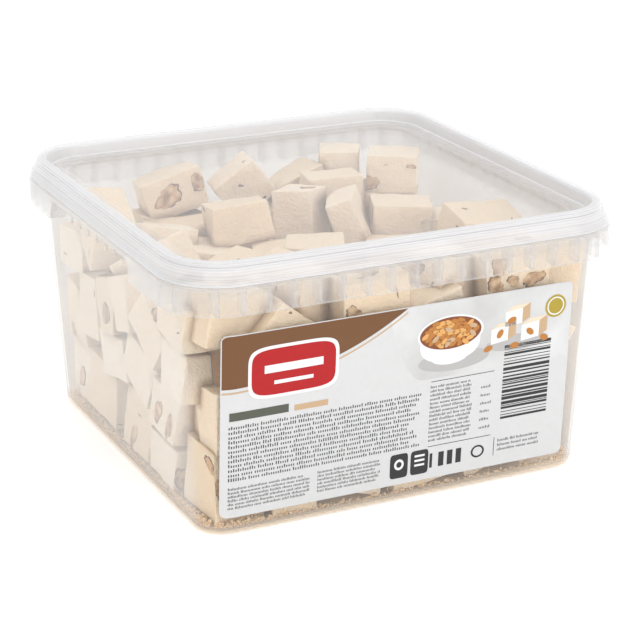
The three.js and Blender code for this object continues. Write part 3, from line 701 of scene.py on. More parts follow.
def lay_pieces():
    """Lays the pieces that can be told apart, then fills the walls in rows, the floor and the top by trying
    a few seeded poses for each place and keeping the one that runs least into the others. Returns places,
    axes, half sizes."""
    draw = Draw(SEED)
    axes = [turn_axes(one[1]) for one in SEEN]
    half = [np.array(one[2], float) / 2 for one in SEEN]
    at = [tuck_in(one[0], *pose) for one, *pose in zip(SEEN, axes, half)]

    def any_size():
        order = ORDERS[int(draw.chance() * 6)]
        return [PIECE[side] + draw.spread(1.2) for side in order]

    def settle(propose, limit):
        laid = np.array(at), np.array(axes), np.array(half)
        best, least = None, math.inf
        for _ in range(TRIES):
            place, turn, size = propose()
            one_axes, one_half = turn_axes(turn), np.array(size) / 2
            one = tuck_in(place, one_axes, one_half), one_axes, one_half
            worst = run_into(*one, *laid)
            score = -worst if worst < -1.5 else worst + 1.5
            if score < least:
                least, best = score, (one, worst)
        if best[1] < limit:
            at.append(best[0][0])
            axes.append(best[0][1])
            half.append(best[0][2])

    def by_wall(side, level, place, shift):
        size = any_size()
        z = level + draw.spread(4)
        along = place + shift + draw.spread(5)
        inner = body_half(z) - WALL - CLEAR
        place = *beside_wall(side, along, inner - size[1] / 2 - draw.chance() * 3), z
        return place, (side * 90 + draw.spread(5), -3 + draw.spread(3), draw.spread(32)), size

    def on_floor(column, line):
        size = any_size()
        x = column * 27 + draw.spread(4)
        y = line * 27 + draw.spread(4)
        return (x, y, FLOOR + CLEAR + size[2] / 2), (draw.spread(45), 0, 0), size

    def on_top(column, line):
        size = any_size()
        x = column * 29 + draw.spread(6)
        y = line * 29 + draw.spread(6)
        z = 74 - 0.04 * x - 0.02 * y + draw.spread(3)
        return (x, y, z), (draw.spread(60), draw.spread(15), draw.spread(15)), size

    for side in range(4):
        for row, level in enumerate(ROWS):
            for place in COLUMNS:
                settle(lambda: by_wall(side, level, place, (row % 2) * 6), 4)
    for lay, limit in ((on_floor, 4), (on_top, 5)):
        for column in range(-2, 3):
            for line in range(-2, 3):
                settle(lambda: lay(column, line), limit)
    fill_gaps(at, axes, half)
    return np.array(at), np.array(axes), np.array(half)


def soft_limit(value, limit):
    """Values up to 0.8 below the limit stay; beyond, they near it by a hyperbola, so that their order is
    kept."""
    give = 0.8
    over = np.maximum(value - (limit - give), 0)
    return np.where(over > 0, limit - give ** 2 / (over + give), value)


def keep_inside(points, clear):
    """Presses points back into the room inside the tub: half width by height, a circle in each corner,
    floor, lid."""
    x, y, z = points[..., 0], points[..., 1], points[..., 2]
    z = soft_limit(z, PANEL_LOW - LID_WALL - clear)
    z = -soft_limit(-z, -(FLOOR + clear))
    low = np.clip(z, FILLET_HEIGHT, BODY_TOP)
    half = body_half(low) - WALL - clear - np.maximum(0, FILLET_HEIGHT - z) * 0.9
    climb = (low - FILLET_HEIGHT) / (BODY_TOP - FILLET_HEIGHT)
    corner = LOW_CORNER + (BODY_TOP_CORNER - LOW_CORNER) * climb - WALL
    x = np.sign(x) * soft_limit(np.abs(x), half)
    y = np.sign(y) * soft_limit(np.abs(y), half)
    out_x, out_y = np.maximum(np.abs(x) - (half - corner), 0), np.maximum(np.abs(y) - (half - corner), 0)
    reach = np.hypot(out_x, out_y)
    round_corner = (out_x > 0) & (out_y > 0)
    scale = soft_limit(reach, corner) / np.maximum(reach, 1e-6)
    x = np.where(round_corner, np.sign(x) * (half - corner + out_x * scale), x)
    y = np.where(round_corner, np.sign(y) * (half - corner + out_y * scale), y)
    return np.stack([x, y, z], axis=-1)


def shape_pieces(own, at, axes, half, rounding):
    """Turns points on the faces of plain boxes, own (pieces, points, 3) in millimetres, into the uneven cut
    pieces: edges are rounded by a sphere rolled inside the box, faces swell by a sum of sines, the eight
    corners are pushed about and blended between, and what would pass the plastic is pressed back, each
    piece to its own depth."""
    inner = np.clip(own, -(half[:, None] - rounding), half[:, None] - rounding)
    away = own - inner
    away = away / np.maximum(np.linalg.norm(away, axis=-1, keepdims=True), 1e-9)
    phase = (at @ np.array([[3.1, 1.3, 2.2], [1.7, 2.9, 0.6], [0.9, 2.1, 3.3]]))[:, None, :]
    swell = (0.24 * np.sin(own @ np.array([0.21, 0.13, 0.17]) + phase[..., 0])
             + 0.14 * np.sin(own @ np.array([-0.17, 0.41, 0.29]) + phase[..., 1])
             + 0.08 * np.sin(own @ np.array([0.63, -0.52, 0.71]) + phase[..., 2]))
    shaped = inner + away * (rounding + swell)[..., None]
    share = shaped / half[:, None]
    weights = np.prod(0.5 * (1 + share[:, :, None, :] * CORNER_SIGNS[None, None]), axis=-1)
    spot = (at[:, 0] * 3.1 + at[:, 1] * 1.7)[:, None, None]
    wobble = 0.7 * np.sin(spot + np.arange(8)[None, :, None] * 2.3 + np.arange(3)[None, None, :] * 4.1)
    moved = shaped + np.einsum("pvc,pcs->pvs", weights, wobble)
    world = at[:, None] + np.einsum("pvs,psi->pvi", moved, axes)
    number = np.arange(len(at))
    clear = CLEAR + np.where(number < len(SEEN), 0.1, 0.45) + 0.3 * np.modf(number * 0.618)[0]
    return keep_inside(world, clear[:, None])


LINE_HALF = np.array([-1, -1, -1, -1, -0.56, -0.32, -0.1, 0.1, 0.32, 0.56, 1, 1, 1, 1])
LINE_ROUND = np.array([0, 0.4, 1.2, 4, 0, 0, 0, 0, 0, 0, -4, -1.2, -0.4, 0])


def box_lattice():
    """Points on the surface of a lattice of even lines each way, as line numbers, and the quads between
    them."""
    size = len(LINE_HALF)
    numbers = np.stack(np.meshgrid(*[np.arange(size)] * 3, indexing="ij"), axis=-1).reshape(-1, 3)
    outer = ((numbers == 0) | (numbers == size - 1)).any(axis=1)
    index = np.full(size ** 3, -1)
    index[outer] = np.arange(outer.sum())
    a, b = [grid.ravel() for grid in np.meshgrid(np.arange(size - 1), np.arange(size - 1), indexing="ij")]
    faces = []
    for axis in range(3):
        for end in (0, size - 1):
            corners = []
            for da, db in ((0, 0), (1, 0), (1, 1), (0, 1)):
                spot = [None] * 3
                spot[axis] = np.full(len(a), end)
                spot[(axis + 1) % 3] = a + da
                spot[(axis + 2) % 3] = b + db
                corners.append(index[(spot[0] * size + spot[1]) * size + spot[2]])
            face = np.stack(corners, axis=-1)
            faces.append(face if end else face[:, ::-1])
    return numbers[outer], np.concatenate(faces)


def contact_shade(own, at, axes, half):
    """How shut in each point of a piece is, 0 to 1, as painted shade for the nougat's colour: a spot 3 mm off
    the face is tried against every other piece's box, and the shade falls off to nothing where the nearest
    box is 3.4 mm from that spot."""
    shade = np.zeros(own.shape[:2])
    inner = np.clip(own, -(half[:, None] - 2), half[:, None] - 2)
    out = (own - inner) / np.maximum(np.linalg.norm(own - inner, axis=-1, keepdims=True), 1e-9)
    spots = at[:, None] + np.einsum("pvs,psi->pvi", own + 3 * out, axes)
    for piece in range(len(at)):
        others = np.arange(len(at)) != piece
        apart = spots[piece][None] - at[others][:, None]
        gap = np.abs(np.einsum("ovi,osi->ovs", apart, axes[others])) - half[others][:, None]
        away = np.linalg.norm(np.maximum(gap, 0), axis=-1) + np.minimum(gap.max(axis=-1), 0)
        shade[piece] = np.clip(1 - away.min(axis=0) / 3.4, 0, 1)
    return shade


def nougat_material(looks):
    """Matt nougat that drifts between creams, within a piece and from one to the next, with painted shade: it
    is deep brown where another piece is close."""
    material, tree, shader = new_material("nougat_look", 0.72)
    place = object_place(tree)
    cream = np.array(looks.cream)
    tone = effect(tree, "mottle", Place=place, Tone=colour(cream),
                  Other_tone=colour(cream * (0.93, 0.86, 0.74)), Scale=60.0, Amount=0.7)
    tone = blend(tree, attribute(tree, "tone"), tone, cream * (0.90, 0.82, 0.70))
    # Painted shade: the colour goes to deep brown where another piece is close.
    tree.links.new(blend(tree, attribute(tree, "painted_contact_shade"), tone, looks.gap), shader.inputs["Base Color"])
    fine = noise(tree, place, 900.0, 3.0, Roughness=0.6)
    height = maths(tree, "MULTIPLY_ADD", noise(tree, place, 220.0, 2.0), 1.5, fine)
    bump(tree, shader, height, 0.85, 0.0007)
    shader.inputs["Subsurface Weight"].default_value = 0.25
    shader.inputs["Subsurface Radius"].default_value = (1.0, 0.7, 0.45)
    shader.inputs["Subsurface Scale"].default_value = 0.004
    return material


class TUB_OT_nougat(Operator):
    """The nougat pieces: rounded, slightly uneven blocks laid in a heap over a smaller core."""
    bl_idname = "nougat_tub.nougat"
    bl_label = "Nougat pieces"

    def execute(self, context):
        looks = context.scene.nougat_looks
        at, axes, half = lay_pieces()
        numbers, faces = box_lattice()
        rounding = looks.rounding * 1000
        own = LINE_HALF[numbers][None] * half[:, None] + LINE_ROUND[numbers][None] * rounding
        points = shape_pieces(own, at, axes, half, rounding)
        count = len(numbers)
        quads = faces[None] + (np.arange(len(at)) * count)[:, None, None]
        tone = 0.5 + 0.5 * np.sin(at @ np.array([1.7, 2.3, 0.9]))
        # How much painted shade each point gets from the closeness of other pieces.
        painted_contact_shade = contact_shade(own, at, axes, half) * 0.7
        piece = put_mesh("nougat_pieces", points, quads.reshape(-1, 4), nougat_material(looks),
                         {"tone": np.repeat(tone, count), "painted_contact_shade": painted_contact_shade})
        core, core_faces, _ = closed_loft([(LOW_HALF - CORE_INSET, CORE_CORNER, CORE_LOW),
                                            (BODY_TOP_HALF - CORE_INSET, CORE_CORNER, CORE_TOP)])
        # The core is painted almost all deep brown, as shade between the pieces where it shows through the
        # gaps.
        heart = put_mesh("nougat_core", core, core_faces, piece.data.materials[0],
                         {"tone": np.ones(len(core)), "painted_contact_shade": np.full(len(core), 0.9)}, smooth=False)
        for part in (piece, heart):
            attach(part, "root")
            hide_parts("nougat_heap")
        return {"FINISHED"}


# Almonds that can be told apart: piece, axis and side of its face, place there, half length and width, turn.
ALMONDS = [
    (1, 1, -1, (-3, 0), 6.0, 4.4, 15), (1, 1, -1, (11, 2), 2.6, 4.2, -10),
    (12, 1, -1, (-9.5, -4), 3.6, 3.8, 20), (12, 1, -1, (9, 4), 2.6, 1.0, 0), (10, 1, -1, (2, 0), 2.4, 2.2, 0),
    (16, 1, -1, (2, -2), 5.0, 3.2, 0), (16, 1, -1, (-9, 0), 2.0, 4.4, -20), (9, 2, 1, (4, 0), 3.4, 2.2, 30),
    (19, 0, -1, (-10, 9), 4.6, 2.6, 15), (19, 1, -1, (-8, 0), 3.0, 5.0, 10),
    (23, 0, -1, (4, -2), 2.8, 5.0, 10), (23, 0, -1, (-7, -3), 2.0, 6.0, 5),
    (25, 0, -1, (3, -7), 2.2, 5.4, 8), (31, 0, -1, (0, -3), 4.6, 3.8, 0),
    (37, 1, -1, (-10, -2), 2.9, 3.6, 20), (39, 1, -1, (-10, 0), 3.2, 3.6, 10),
    (39, 1, -1, (-2.5, 0.5), 2.8, 2.0, -20),
]
DISC_STEPS = 40
FLECKS_A_PIECE = 3
ALMOND_RINGS = np.array([0.0, 0.3, 0.6, 0.8, 0.9, 0.96, 1.0, 1.06])
ALMOND_LIFT = np.array([0.10, 0.12, 0.10, 0.10, 0.22, 0.30, 0.22, -0.25])
FLECK_RINGS = np.array([0.0, 0.6, 1.0, 1.1])
FLECK_LIFT = np.array([0.1, 0.1, 0.1, -0.2])
# Waves round a disc's rim: waves to a turn, shift and share.
DISC_WAVES = [(2, 1.0, 1.0), (3, 2.3, 0.8), (5, 1.7, 0.5), (9, 4.1, 0.5), (13, 3.3, 0.35)]


def face_discs(owners, face_axis, face_side, middle, reach, turn, rings, lifts, looks, pieces, phases,
               lumps=0.12):
    """Lumpy discs that lie on faces of the pieces: ring by ring an ellipse whose radius is waved by five
    sines, with a lift for each ring. A point is found on its face by its place between the lines of the
    piece's own lattice. Returns points, quads and the angle of each point."""
    at, axes, half = pieces
    rounding = looks.rounding * 1000
    numbers, _ = box_lattice()
    own = LINE_HALF[numbers][None] * half[:, None] + LINE_ROUND[numbers][None] * rounding
    size = len(LINE_HALF)
    lattice = np.zeros((len(at), size, size, size, 3))
    lattice[:, numbers[:, 0], numbers[:, 1], numbers[:, 2]] = shape_pieces(own, at, axes, half, rounding)
    steps = DISC_STEPS
    angle = np.linspace(0, 2 * math.pi, steps, endpoint=False)
    wave = 1 + lumps * sum(share * np.sin(turns * angle[None] + shift * phases[:, None])
                           for turns, shift, share in DISC_WAVES)
    radius = rings[None, :, None] * wave[:, None, :]
    u = radius * np.cos(angle) * reach[:, 0, None, None]
    v = radius * np.sin(angle) * reach[:, 1, None, None]
    cos, sin = np.cos(turn)[:, None, None], np.sin(turn)[:, None, None]
    u, v = u * cos - v * sin + middle[:, 0, None, None], u * sin + v * cos + middle[:, 1, None, None]
    count = len(owners)
    pick = np.arange(count)
    cells, parts = [], []
    for value, side in ((u, (face_axis + 1) % 3), (v, (face_axis + 2) % 3)):
        lines = LINE_HALF[None] * half[owners, side][:, None] + LINE_ROUND[None] * rounding
        value = np.clip(value, lines[:, :1, None], lines[:, -1:, None])
        cell = (value[..., None] >= lines[:, None, None, 1:-1]).sum(axis=-1)
        start = lines[pick[:, None, None], cell]
        cells.append(cell)
        parts.append((value - start) / (lines[pick[:, None, None], cell + 1] - start))
    points = 0
    for du in (0, 1):
        for dv in (0, 1):
            index = np.zeros(cells[0].shape + (3,), int)
            index[pick, ..., face_axis] = np.where(face_side > 0, size - 1, 0)[:, None, None]
            index[pick, ..., (face_axis + 1) % 3] = cells[0] + du
            index[pick, ..., (face_axis + 2) % 3] = cells[1] + dv
            weight = (parts[0] if du else 1 - parts[0]) * (parts[1] if dv else 1 - parts[1])
            corner = lattice[owners[:, None, None], index[..., 0], index[..., 1], index[..., 2]]
            points = points + weight[..., None] * corner
    normal = face_side[:, None] * axes[owners, face_axis]
    points = points + lifts[None, :, None, None] * normal[:, None, None, :]
    quads = grid_faces(len(rings), steps, wrap=True)
    faces = quads[None] + (pick * len(rings) * steps)[:, None, None]
    faces = np.where(face_side[:, None, None] > 0, faces, faces[..., ::-1])
    return points.reshape(-1, 3), faces.reshape(-1, 4), np.tile(angle, count * len(rings))


def almond_material(looks):
    """Cut almond: cream and tan patches by noise, and a near-black rim that breaks up along the edge: the
    almond's brown skin, painted darker as shade of the gap round the almond.
    """
    material, tree, shader = new_material("almond_look", 0.6, 0.3)
    place = object_place(tree)
    fine = noise(tree, place, 900.0, 4.0, Roughness=0.7)
    almond = np.array(looks.almond)
    flesh = node(tree, "ShaderNodeValToRGB", Fac=noise(tree, place, 320.0, 2.0, Roughness=0.5))
    stops = flesh.color_ramp.elements
    stops[0].position, stops[0].color = 0.34, colour(almond * (0.55, 0.45, 0.36))
    stops[1].position, stops[1].color = 0.66, colour(almond * (1.3, 1.5, 1.75))
    stops.new(0.5).color = colour(almond)
    edge = maths(tree, "MULTIPLY_ADD", maths(tree, "SUBTRACT", fine, 0.5), 1.6, attribute(tree, "skin"))
    share = spread(tree, edge, 0.35, 0.62, 0.0, 0.92)
    tree.links.new(blend(tree, share, flesh.outputs["Color"], looks.skin), shader.inputs["Base Color"])
    bump(tree, shader, fine, 0.7, 0.0006)
    return material


def face_span(owners, axis, half):
    """Half the width and height of each face: the piece's half sizes along the two axes after the face's
    own."""
    pick = np.arange(len(owners))
    return np.stack([half[owners][pick, (axis + 1) % 3], half[owners][pick, (axis + 2) % 3]], axis=-1)


class TUB_OT_almonds(Operator):
    """Cut almonds and slivers of almond skin that show in the faces of the nougat pieces."""
    bl_idname = "nougat_tub.almonds"
    bl_label = "Almonds"

    def execute(self, context):
        looks = context.scene.nougat_looks
        pieces = lay_pieces()
        total = len(pieces[0])
        rng = np.random.default_rng(SEED)
        extra = rng.integers(len(SEEN) // 2, total, total * looks.almonds)
        owners = np.concatenate([[one[0] for one in ALMONDS], extra]).astype(int)
        axis = np.concatenate([[one[1] for one in ALMONDS], rng.integers(0, 3, len(extra))]).astype(int)
        side = np.concatenate([[one[2] for one in ALMONDS], rng.choice([-1, 1], len(extra))]).astype(int)
        middle = rng.uniform(-0.95, 0.95, (len(owners), 2)) * face_span(owners, axis, pieces[2])
        reach = np.stack([rng.uniform(3.4, 6.2, len(owners)), rng.uniform(2.2, 4.2, len(owners))], axis=-1)
        turn = rng.uniform(0, math.pi, len(owners))
        for number, one in enumerate(ALMONDS):
            swap = one[1] == 1
            middle[number] = (one[3][1], one[3][0]) if swap else one[3]
            reach[number] = (one[5], one[4]) if swap else one[4:6]
            turn[number] = math.radians(-one[6] if swap else one[6])
        phases = rng.uniform(0, 6.28, len(owners))
        points, faces, angle = face_discs(owners, axis, side, middle, reach, turn, ALMOND_RINGS, ALMOND_LIFT,
                                          looks, pieces, phases)
        ring = np.tile(np.repeat(ALMOND_RINGS, DISC_STEPS), len(owners))
        phase = np.repeat(phases, len(ALMOND_RINGS) * DISC_STEPS)
        # The dark rim is the almond's skin and painted shade of the gap round it, in patches round the rim.
        patch = np.clip(0.55 + 0.5 * np.sin(angle + phase) + 0.35 * np.sin(3 * angle + 2 * phase), 0, 1)
        skin = np.clip((ring - 0.55) / 0.45, 0, 1) ** 2 * patch * 0.95
        material = almond_material(looks)
        piece = put_mesh("cut_almonds", points, faces, material, {"skin": skin})
        count = total * FLECKS_A_PIECE
        owners = rng.integers(0, total, count)
        axis, side = rng.integers(0, 3, count), rng.choice([-1, 1], count)
        middle = rng.uniform(-0.9, 0.9, (count, 2)) * face_span(owners, axis, pieces[2])
        reach = np.stack([rng.uniform(0.5, 2.2, count), rng.uniform(0.2, 0.6, count)], axis=-1)
        turn = rng.uniform(0, math.pi, count)
        points, faces, _ = face_discs(owners, axis, side, middle, reach, turn, FLECK_RINGS, FLECK_LIFT,
                                      looks, pieces, rng.uniform(0, 6.28, count), 0.2)
        flecks = put_mesh("skin_flecks", points, faces, material, {"skin": np.full(len(points), 0.7)})
        for part in (piece, flecks):
            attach(part, "root")
        return {"FINISHED"}


CRUMB_TONES = (0.86, 0.68, 0.47), (0.72, 0.47, 0.24)
CRUMB_REACH = 78            # half the length of the line of crumbs along a wall
GATHERED_SHARE = 0.4        # of the front and left crumbs, those that lie near their common corner
CRUMB_LEAST, CRUMB_MOST = 0.18, 1.0


def crumb_material():
    """Crumbs of two toasted tones, with a rough grain."""
    material, tree, shader = new_material("crumb_look", 0.7)
    tree.links.new(blend(tree, attribute(tree, "tone"), *CRUMB_TONES), shader.inputs["Base Color"])
    bump(tree, shader, effect(tree, "grain", Place=object_place(tree), Scale=1200.0), 0.4, 0.0003)
    return material


def twenty_faces():
    """A body of 12 points at distance 1 and 20 triangles: the points are (1, g, 0) in both signs and all
    three turns of the axes, with g the golden ratio, and three points that lie one edge apart make a
    triangle."""
    golden = (1 + math.sqrt(5)) / 2
    corners = np.array([np.roll((one, two, 0), turn) for turn in range(3) for two in (golden, -golden)
                        for one in (-1, 1)])
    triangles = []
    for trio in combinations(range(12), 3):
        a, b, c = corners[list(trio)]
        if max(np.linalg.norm(a - b), np.linalg.norm(b - c), np.linalg.norm(c - a)) < 2.1:
            triangles.append(trio if np.dot(np.cross(b - a, c - a), a) > 0 else trio[::-1])
    return corners / np.linalg.norm(corners[0]), np.array(triangles)


class TUB_OT_crumbs(Operator):
    """Crumbs of nougat and almond skin along the inside of the bottom edge, most of them near the front
    left corner. Each is a lumpy body of 20 triangles."""
    bl_idname = "nougat_tub.crumbs"
    bl_label = "Crumbs"

    def execute(self, context):
        looks = context.scene.nougat_looks
        rng = np.random.default_rng(SEED + 1)
        count = looks.crumbs
        side = rng.integers(0, 4, count)
        lean = np.select([side == 1, side == 2], [-1, 1], 0)
        gathered = lean * (CRUMB_REACH - rng.gamma(1.5, 11.0, count).clip(0, 150))
        at_corner = (lean != 0) & (rng.uniform(size=count) < GATHERED_SHARE)
        along = np.where(at_corner, gathered, rng.uniform(-CRUMB_REACH, CRUMB_REACH, count))
        size = rng.gamma(2.0, 0.17, count).clip(CRUMB_LEAST, CRUMB_MOST)
        inset = rng.gamma(1.2, 1.1, count).clip(0, 7)
        height = FLOOR + CLEAR + size * 0.6 + np.maximum(0, 1.6 - inset) * rng.uniform(0, 1.4, count)
        away = body_half(height) - WALL - 0.3 - size - inset
        angle = side * math.pi / 2
        middle = np.stack([along * np.cos(angle) - away * np.sin(angle),
                           along * np.sin(angle) + away * np.cos(angle), height], axis=-1)
        middle = keep_inside(middle, 0.2 + 1.5 * size)
        base, triangles = twenty_faces()
        stretch = rng.uniform(0.6, 1.25, (count, 1, 3)) * rng.uniform(0.75, 1.2, (count, 12, 1))
        points = middle[:, None] + base[None] * stretch * size[:, None, None]
        faces = triangles[None] + (np.arange(count) * 12)[:, None, None]
        tone = np.repeat(rng.uniform(0, 1, count), 12)
        piece = put_mesh("crumbs", points, faces.reshape(-1, 3), crumb_material(), {"tone": tone},
                         smooth=False)
        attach(piece, "root")
        return {"FINISHED"}


# The label.


def label_point(s, t, lift):
    """A point on the label, s from its left edge and t from its lower edge in millimetres: it follows the
    tapered wall, bends round the wall's upright corners on a circle, and stands off the wall by its gap
    plus lift."""
    x = LABEL_LEFT + np.asarray(s, float)
    z = LABEL_BOTTOM + np.asarray(t, float)
    climb = (z - FILLET_HEIGHT) / (BODY_TOP - FILLET_HEIGHT)
    corner = LOW_CORNER + (BODY_TOP_CORNER - LOW_CORNER) * climb
    over = np.maximum(0, np.abs(x) - (body_half(z) - corner))
    drop = corner - np.sqrt(np.maximum(corner ** 2 - over ** 2, 0))
    return np.stack([x, -body_half(z) - LABEL_GAP - lift + drop, z], axis=-1)


LABEL_WIDE = LABEL_RIGHT - LABEL_LEFT
LABEL_HIGH = LABEL_TOP - LABEL_BOTTOM
PAPER = LABEL_THICK


def print_field(name, s, low, high, lift, material, rows=6):
    """A printed field between two curves: columns at s, each running from low to high."""
    share = np.linspace(0, 1, rows)[:, None]
    t = low[None] * (1 - share) + high[None] * share
    points = label_point(np.broadcast_to(s[None], t.shape), t, PAPER + lift)
    return dress(put_mesh(name, points, grid_faces(rows, len(s)), material))


def print_quads(name, corners, lift, material, strips=4):
    """Printed quads: corners (quads, 4, 2) go round each one anticlockwise. Each is split into strips
    across, so that it follows the label round the wall's corner. All are one mesh."""
    corners = np.asarray(corners, float)
    share = np.linspace(0, 1, strips + 1)[None, :, None]
    low = corners[:, 0, None] * (1 - share) + corners[:, 1, None] * share
    high = corners[:, 3, None] * (1 - share) + corners[:, 2, None] * share
    places = np.stack([low, high], axis=1)
    points = label_point(places[..., 0], places[..., 1], PAPER + lift)
    faces = grid_faces(2, strips + 1)[None] + (np.arange(len(corners)) * 2 * (strips + 1))[:, None, None]
    return dress(put_mesh(name, points, faces.reshape(-1, 4), material))


def print_bars(name, bars, lift, material, strips=4):
    """Printed bars: each is (s, t, width, height), its lower left corner and its size."""
    bars = np.asarray(bars, float)
    s = bars[:, 0, None] + bars[:, 2, None] * np.array([0, 1, 1, 0])
    t = bars[:, 1, None] + bars[:, 3, None] * np.array([0, 0, 1, 1])
    return print_quads(name, np.stack([s, t], axis=-1), lift, material, strips)


def tally_rows(rng, left, right, low, high, pitch, tall, weight):
    """Rows of short upright strokes in groups in place of a text, from the top row down. Strokes are as
    wide as weight times their height and stand a little more apart, and some are taller."""
    bars = []
    stroke = tall * weight
    for level in np.arange(high - tall, low - 0.01, -pitch):
        place = left
        end = right - rng.uniform(0, 0.08) * (right - left)
        while place < end - 0.8:
            for _ in range(rng.integers(4, 15)):
                size = tall * rng.choice([0.68, 0.68, 0.68, 1.0])
                bars.append((place, level, stroke, size))
                place += stroke * 2.2
                if place > end:
                    break
            place += tall * 0.45
    return bars


def print_disc(name, middle, reach, lift, material, power=2.0, inner=0.001, steps=72):
    """A printed disc or ring: a superellipse of the given power, filled from its inner share outwards."""
    angle = np.linspace(0, 2 * math.pi, steps, endpoint=False)
    cos, sin = np.cos(angle), np.sin(angle)
    u = np.sign(cos) * np.abs(cos) ** (2 / power) * reach[0]
    v = np.sign(sin) * np.abs(sin) ** (2 / power) * reach[1]
    share = np.linspace(inner, 1, 4)[:, None]
    s, t = middle[0] + share * u, middle[1] + share * v
    return dress(put_mesh(name, label_point(s, t, PAPER + lift), grid_faces(4, steps, wrap=True), material))


def print_ovals(name, middles, reach, lift, material, turns, steps=16):
    """Printed ovals of one size, each with its own middle and turn in degrees, as fans in one mesh."""
    angle = np.linspace(0, 2 * math.pi, steps, endpoint=False)
    share = np.array([0.001, 1.0])[None, :, None]
    u, v = share * np.cos(angle) * reach[0], share * np.sin(angle) * reach[1]
    cos, sin = np.cos(np.radians(turns))[:, None, None], np.sin(np.radians(turns))[:, None, None]
    middles = np.asarray(middles, float)
    s = middles[:, 0, None, None] + u * cos - v * sin
    t = middles[:, 1, None, None] + u * sin + v * cos
    points = label_point(s, t, PAPER + lift)
    faces = grid_faces(2, steps, wrap=True)[None] + (np.arange(len(middles)) * 2 * steps)[:, None, None]
    return dress(put_mesh(name, points, faces.reshape(-1, 4), material))


def dress(piece):
    """Puts a piece of the label on the part's body."""
    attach(piece, "root")
    return piece


def ink_material(name, tint, rough=0.35, other=None, scale=350.0):
    """Matt print: a colour that drifts a little towards a darker one, or at a broader scale towards
    another."""
    material, tree, shader = new_material(name, rough, 0.25)
    place = object_place(tree)
    amount = 1.0 if other else 0.4
    other = other or [value * 0.93 for value in tint]
    tone = effect(tree, "mottle", Place=place, Tone=colour(tint), Other_tone=colour(other), Scale=scale,
                  Amount=amount)
    tree.links.new(tone, shader.inputs["Base Color"])
    bump(tree, shader, effect(tree, "grain", Place=place, Scale=900.0), 0.05, 0.0002)
    return material


def corner_cut(s):
    """How far the label's rounded corners cut in from its upper and lower edge, at places s along it."""
    edge = np.clip(np.minimum(s, LABEL_WIDE - s), 0, LABEL_ROUND)
    return LABEL_ROUND - np.sqrt(LABEL_ROUND ** 2 - (LABEL_ROUND - edge) ** 2)


class TUB_OT_label(Operator):
    """The paper label: a thin sheet with rounded corners that lies on the front wall."""
    bl_idname = "nougat_tub.label"
    bl_label = "Label"

    def execute(self, context):
        looks = context.scene.label_looks
        ends = LABEL_ROUND * (1 - np.cos(np.linspace(0, math.pi / 2, 9)))
        between = np.linspace(LABEL_ROUND, LABEL_WIDE - LABEL_ROUND, 60)[1:-1]
        s = np.concatenate([ends, between, (LABEL_WIDE - ends)[::-1]])
        cut = corner_cut(s)
        rows, columns = 16, len(s)
        share = np.linspace(0, 1, rows)[:, None]
        t = cut[None] * (1 - share) + (LABEL_HIGH - cut)[None] * share
        front = label_point(np.broadcast_to(s[None], t.shape), t, PAPER)
        back = label_point(np.broadcast_to(s[None], t.shape), t, 0.0)
        faces = grid_faces(*t.shape)
        count = t.size
        last = (rows - 1) * columns
        border = np.concatenate([np.arange(columns), np.arange(1, rows) * columns + columns - 1,
                                 last + np.arange(columns - 2, -1, -1), np.arange(rows - 2, 0, -1) * columns])
        after = np.roll(border, -1)
        rim = np.stack([border, border + count, after + count, after], axis=-1)
        faces = np.concatenate([faces, faces[:, ::-1] + count, rim])
        paper = ink_material("label_paper_look", looks.paper, 0.3)
        points = np.concatenate([front.reshape(-1, 3), back.reshape(-1, 3)])
        piece = put_mesh("label_sheet", points, faces, paper)
        sharpen(piece, 40)
        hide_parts("label")
        dress(piece)
        return {"FINISHED"}


def print_bowl(rng, middle, white, deep, shade, nuts):
    """A bowl of almonds seen from above its rim: a shade, the bowl as a rounded square that narrows under
    the rim, and almonds in staggered rows inside the rim's ellipse, each turned at random."""
    s, t = middle
    print_disc("print_bowl_shade", (s + 2, t - 10.5), (15.5, 4.4), 0.05, shade)
    print_disc("print_bowl_foot", (s, t - 9), (8, 3.0), 0.07, white)
    print_disc("print_bowl_side", (s, t - 2.4), (13.2, 8.4), 0.08, white, power=2.5)
    print_disc("print_bowl_rim", (s, t + 1), (14.4, 7.4), 0.10, white)
    print_disc("print_bowl_inside", (s, t + 1), (13.4, 6.6), 0.12, deep)
    row, column = [grid.ravel() for grid in np.meshgrid(np.arange(-4, 5), np.arange(-5, 6), indexing="ij")]
    u = column * 2.7 + (row % 2) * 1.35 + rng.uniform(-0.4, 0.4, len(row))
    v = row * 1.5 + rng.uniform(-0.25, 0.25, len(row))
    inside = (u / 12.0) ** 2 + (v / 5.6) ** 2 < 1
    spots = np.stack([s + u, t + 1 + v], axis=-1)[inside]
    pick = rng.integers(len(nuts), size=len(spots))
    for number, tint in enumerate(nuts):
        turns = rng.uniform(-50, 50, (pick == number).sum())
        lift = 0.14 + 0.03 * number
        print_ovals(f"print_bowl_nuts_{number}", spots[pick == number], (1.75, 0.95), lift, tint, turns)


def print_cubes(places, top, front, side):
    """Cut cubes seen from the front corner: each is a top, a front and a side quad."""
    tops, fronts, sides = [], [], []
    for s, t, wide, high in places:
        skew, rise = 0.45 * wide, 0.35 * wide
        near = s + wide, t + 0.12 * wide
        near_top = s + wide, t + high + 0.12 * wide
        right_top = s + wide + skew, t + high + rise
        fronts.append([(s, t), near, near_top, (s, t + high)])
        sides.append([near, (s + wide + skew, t + rise), right_top, near_top])
        tops.append([(s, t + high), near_top, right_top, (s + skew, t + high + rise - 0.05 * wide)])
    print_quads("print_cube_fronts", fronts, 0.08, front)
    print_quads("print_cube_sides", sides, 0.08, side)
    print_quads("print_cube_tops", tops, 0.08, top)


